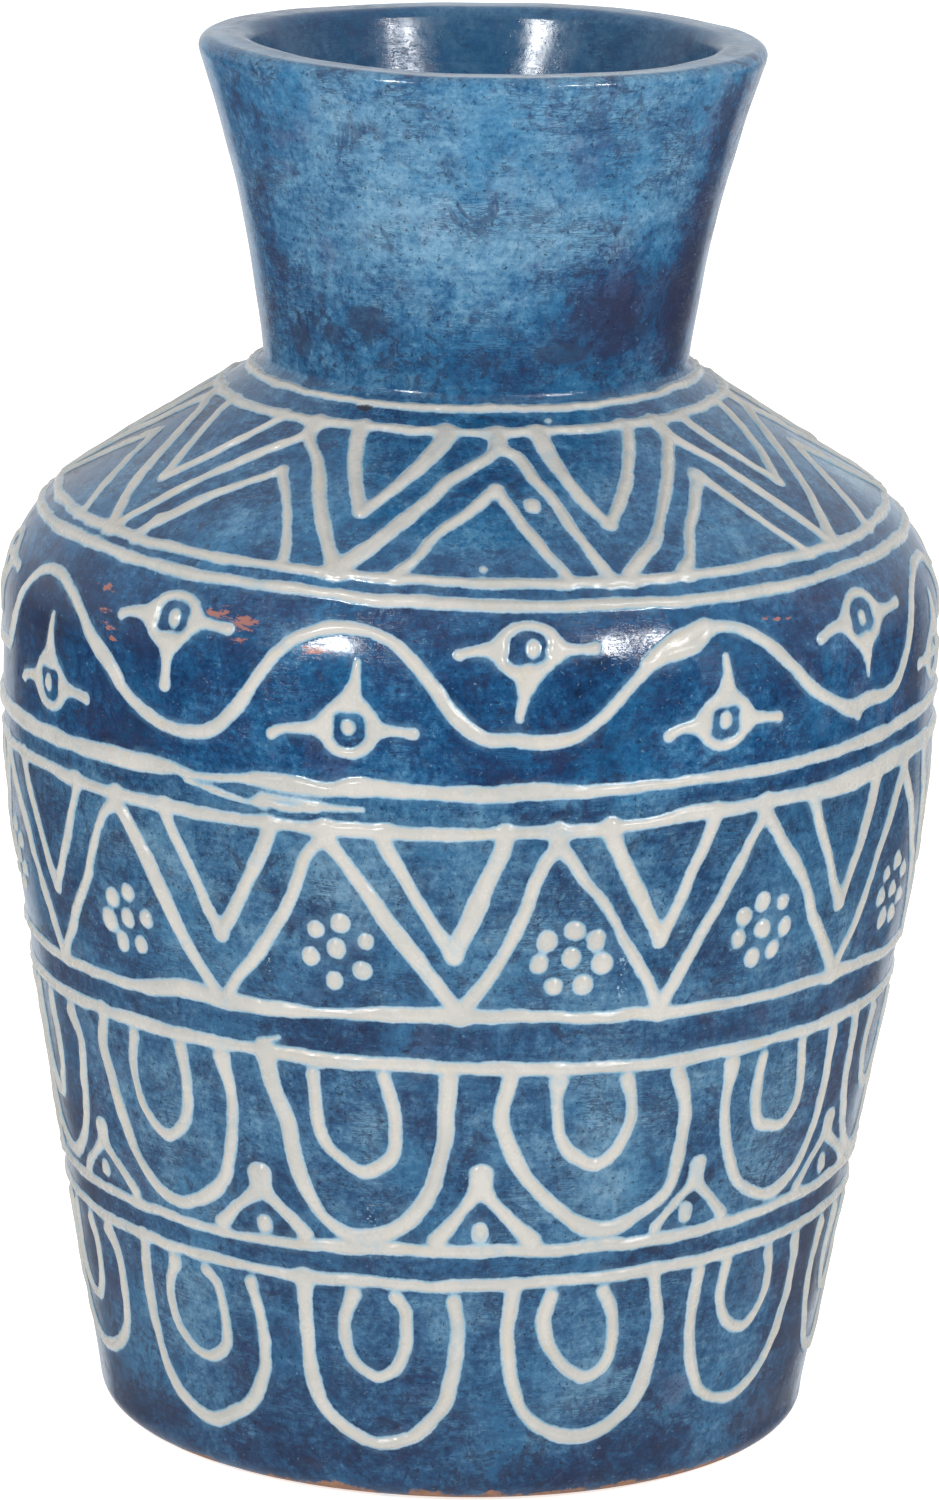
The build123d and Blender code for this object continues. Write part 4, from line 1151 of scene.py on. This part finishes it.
def burr_mask(n, point):
    """The dark burnt burr on the ring above the chevrons."""
    edge = n.stray(0.0014, 0.2, point, 420, 4, 0.7, 97.0)
    return n.times(oval(n, point, -27.3, 303.9, 3.6, 0.9, edge), 0.85)


# Scuffs through to the clay: angle, height, radius in metres.
SCUFFS = ((-50.5, 256.2, 0.0026), (-49.5, 250.5, 0.0020), (-48, 247.0, 0.0022), (-32, 255.6, 0.0042),
          (-27.5, 254.4, 0.0042), (-28, 249.6, 0.0022), (-18.3, 249.3, 0.0026), (-47.3, 244.0, 0.0018),
          (39, 256.3, 0.0014), (41, 255.7, 0.0012), (42.5, 255.3, 0.0012))
# White-flecked runs and dark round stains: angle, height, half width and half height.
DRIPS = ((1.6, 98, 1.5, 34), (-11.4, 84, 1.7, 17), (20, 160, 1.2, 24), (-24, 165, 1.3, 20), (58, 160, 1.6, 30))
STAINS = ((-28.5, 328, 6.8, 4.6), (-40, 323, 3.6, 4.2), (-52, 319, 5.6, 5.4), (-42, 333, 1.9, 1.9),
          (34, 355, 2.2, 2.6), (22.5, 320, 8.5, 3.2), (120, 330, 6.0, 4.5), (205, 345, 5.0, 4.0))


def blue_glaze():
    material, n = fresh("blue_glaze_sponged")
    point, _, glaze = glaze_of(n)
    z = n.add("ShaderNodeSeparateXYZ", {0: point}).outputs[2]
    bare = n.ramp(n.plus(z, n.stray(0.003, 0.2, point, 90, 5, 0.65, 81.0)), 0.0026, 0.0014)
    colour = n.mix(bare, glaze[0], n.mix(n.noise(point, 300, 4), (104, 72, 54), (160, 114, 84)))
    flat = 3.0                                       # the scuffs run level
    level = n.vector("MULTIPLY", point, (1.0, 1.0, flat))
    torn = n.stray(0.006, 0.25, level, 300, 5, 0.72, 91.0)
    clay_colour = n.mix(n.noise(level, 240, 3, 0.6, 0.0, 93.0), (168, 104, 82), (140, 98, 92))
    for angle, height, radius in SCUFFS:
        x, y, up = place_on_wall(angle, height)
        away = n.vector("DISTANCE", level, (x, y, up * flat))
        spot = n.ramp(n.plus(away, torn, min(1.3, radius * 300)), radius, radius - SOFT_RIM)
        colour = n.tint(colour, spot, 0.85, clay_colour)
    flecks = n.spots(0.54, 0.64, point, 900, 3, 0.65, 0.0, 98.0)
    uneven = n.spots(0.3, 0.7, point, 260, 4, 0.7, 0.0, 99.0, -0.001, 0.001)
    for drip in DRIPS:
        colour = n.tint(colour, n.times(oval(n, point, *drip, uneven), flecks), 0.55, (176, 200, 214))
    soft_edge = n.stray(0.0009, 0.2, point, 190, 4, 0.6, 95.0)
    for stain in STAINS:
        colour = n.tint(colour, oval(n, point, *stain, soft_edge), 0.60, (40, 56, 82))
    colour = n.mix(burr_mask(n, point), colour, BURNT)
    finish_material(n, colour, n.mix(bare, glaze[1], (0.6, 0.6, 0.6, 1)), glaze[2])
    return material


def cream_slip():
    material, n = fresh("cream_slip_glazed")
    point, distance, glaze = glaze_of(n)
    ragged = n.plus(distance, n.stray(0.20, 0.25, point, 520, 4, 0.65, 2.0))
    ragged = n.plus(ragged, n.stray(0.28, 0.25, point, 95, 3, 0.6, 4.0))
    thin = n.ramp(ragged, 0.70, 0.10)
    thick = n.ramp(ragged, 0.25, -0.45)
    fringe = n.mix(n.spots(0.4, 0.65, point, 60, 4, 0.6, 0.3, 14.0), (150, 174, 188), (122, 158, 176))
    body = n.mix(n.spots(0.35, 0.7, point, 45, 5, 0.6, 0.2, 24.0), (184, 180, 173), (171, 169, 163))
    body = n.tint(body, n.spots(0.55, 0.75, point, 80, 4, 0.6, 0.2, 34.0), 0.5, (182, 171, 150))
    body = n.tint(body, n.spots(0.55, 0.70, point, 85, 6, 0.68, 0.4, 44.0), 0.55, (150, 168, 176))
    body = n.tint(body, n.spots(0.68, 0.76, point, 1100, 3, 0.6, 0.0, 54.0), 0.5, (120, 128, 128))
    colour = n.mix(thick, n.mix(thin, glaze[0], fringe), body)
    colour = n.mix(burr_mask(n, point), colour, BURNT)
    rough = n.mix(thick, glaze[1], n.spots(0.3, 0.7, point, 240, 4, 0.6, 0.0, 64.0, 0.16, 0.34))
    finish_material(n, colour, rough, n.plus(glaze[2], n.noise(point, 800, 4, 0.6, 0.0, 74.0), 0.25))
    return material


def bare_clay():
    material, n = fresh("bare_terracotta_foot")
    point = object_point(n)
    body = n.mix(n.noise(point, 45, 6, 0.65, 0.3), (148, 88, 58), (196, 136, 98))
    grit = n.spots(0.62, 0.72, point, 900, 3, 0.6, 0.0, 3.0)
    body = n.tint(body, grit, 0.6, (92, 58, 44))
    body = n.tint(body, n.spots(0.55, 0.72, point, 70, 5, 0.65, 0.0, 6.0), 0.5, (214, 176, 146))
    rough = n.spots(0.3, 0.7, point, 200, 4, 0.6, 0.0, 8.0, 0.72, 0.92)
    finish_material(n, body, rough, n.plus(n.noise(point, 500, 5, 0.65, 0.0, 5.0), grit, 0.6), depth=0.0004)
    return material


for pieces, material in ((clay, blue_glaze()), (slip, cream_slip()), ([slab], bare_clay())):
    for piece in pieces:
        piece.data.materials.append(material)

# ---------------------------------------------------------------- stage, lights, camera


def floor_plane():
    half, below = 9.0, 0.0004
    mesh = bpy.data.meshes.new("studio_floor")
    corners = [(-half, -half, 0), (half, -half, 0), (half, half, 0), (-half, half, 0)]
    mesh.from_pydata(corners, [], [(0, 1, 2, 3)])
    material, n = fresh("studio_floor_paper")
    paper = n.mix(n.noise(object_point(n), 3.0, 2), (0.93, 0.93, 0.93, 1), (0.95, 0.95, 0.95, 1))
    shader = n.add("ShaderNodeBsdfPrincipled", {
        "Base Color": paper, "Roughness": 0.9, "Specular IOR Level": 0.0,
        "Emission Color": (1, 1, 1, 1), "Emission Strength": 0.70})
    n.add("ShaderNodeOutputMaterial", {0: shader.outputs[0]})
    mesh.materials.append(material)
    floor = linked("studio_floor", mesh)
    floor.location.z = cad_low[2] - below
    floor.visible_glossy = False                     # its reflection would make the glaze milky


floor_plane()

# The studio: pale behind the vase, darker in front of it with a pale ceiling.
world = bpy.data.worlds.new("studio")
bpy.context.scene.world = world
world.use_nodes = True
w = Nodes(world.node_tree)
way = w.add("ShaderNodeSeparateXYZ", {0: w.add("ShaderNodeTexCoord").outputs["Generated"]}).outputs
behind = w.times(w.ramp(way[1], -0.75, 0.35), w.ramp(way[2], -0.15, 0.12))
behind = w.math("MAXIMUM", behind, w.ramp(way[1], 0.80, 0.88))
front = w.greys(w.ramp(way[2], -1.0, 1.0, smooth=False),
                ((0.0, 0.50), (0.22, 0.46), (0.35, 0.14), (0.55, 0.18), (0.80, 0.60), (1.0, 0.75)), 1.02, 1.06)
background = world.node_tree.nodes["Background"].inputs
w.plug(background["Color"], w.mix(behind, front, (0.76, 0.79, 0.82, 1)))
w.plug(background["Strength"], 1.0)


def aim(obj, place, target, roll=0.0):
    """Puts a lamp or camera at a place, looking at the target."""
    obj.location = place
    turn = (Vector(place) - Vector(target)).to_track_quat("Z", "Y").to_matrix().to_4x4()
    obj.rotation_euler = (turn @ Matrix.Rotation(math.radians(roll), 4, "Z")).to_euler()


def around(centre, azimuth, elevation, distance):
    """Place at that azimuth from the front and that elevation, as seen from the centre."""
    a, e = math.radians(azimuth), math.radians(elevation)
    return centre + distance * Vector((math.sin(a) * math.cos(e), -math.cos(a) * math.cos(e), math.sin(e)))


MIDDLE = Vector((0, 0, 0.2 * UNIT))
for name, azimuth, wide, tall, watts in (("softbox_left", -33.5, 0.30, 0.30, 14),
                                         ("softbox_right_near", 38.5, 0.17, 0.32, 7),
                                         ("softbox_right_far", 49, 0.17, 0.32, 7)):
    lamp = bpy.data.lights.new(name, "AREA")
    lamp.shape = "RECTANGLE"
    lamp.size, lamp.size_y, lamp.energy = wide, tall, watts
    aim(linked(name, lamp), around(MIDDLE, azimuth, 27, 2.0), MIDDLE)

ELEVATION, DISTANCE, ROLL = 13.26, 2.1495, 1.375
TARGET = Vector((0.00086, 0.0, 0.19349))
camera_data = bpy.data.cameras.new("camera")
camera_data.lens, camera_data.sensor_width = 179.0, 36.0
camera = linked("camera", camera_data)
aim(camera, around(TARGET, 0, ELEVATION, DISTANCE), TARGET, ROLL)
bpy.context.scene.camera = camera
bpy.context.scene.view_settings.view_transform = "Standard"

bpy.context.view_layer.update()
low, high = np.full(3, np.inf), np.full(3, -np.inf)
for piece in clay + slip + [slab]:
    co = np.zeros(len(piece.data.vertices) * 3, np.float32)
    piece.data.vertices.foreach_get("co", co)
    co = co.reshape(-1, 3)
    low, high = np.minimum(low, co.min(0)), np.maximum(high, co.max(0))
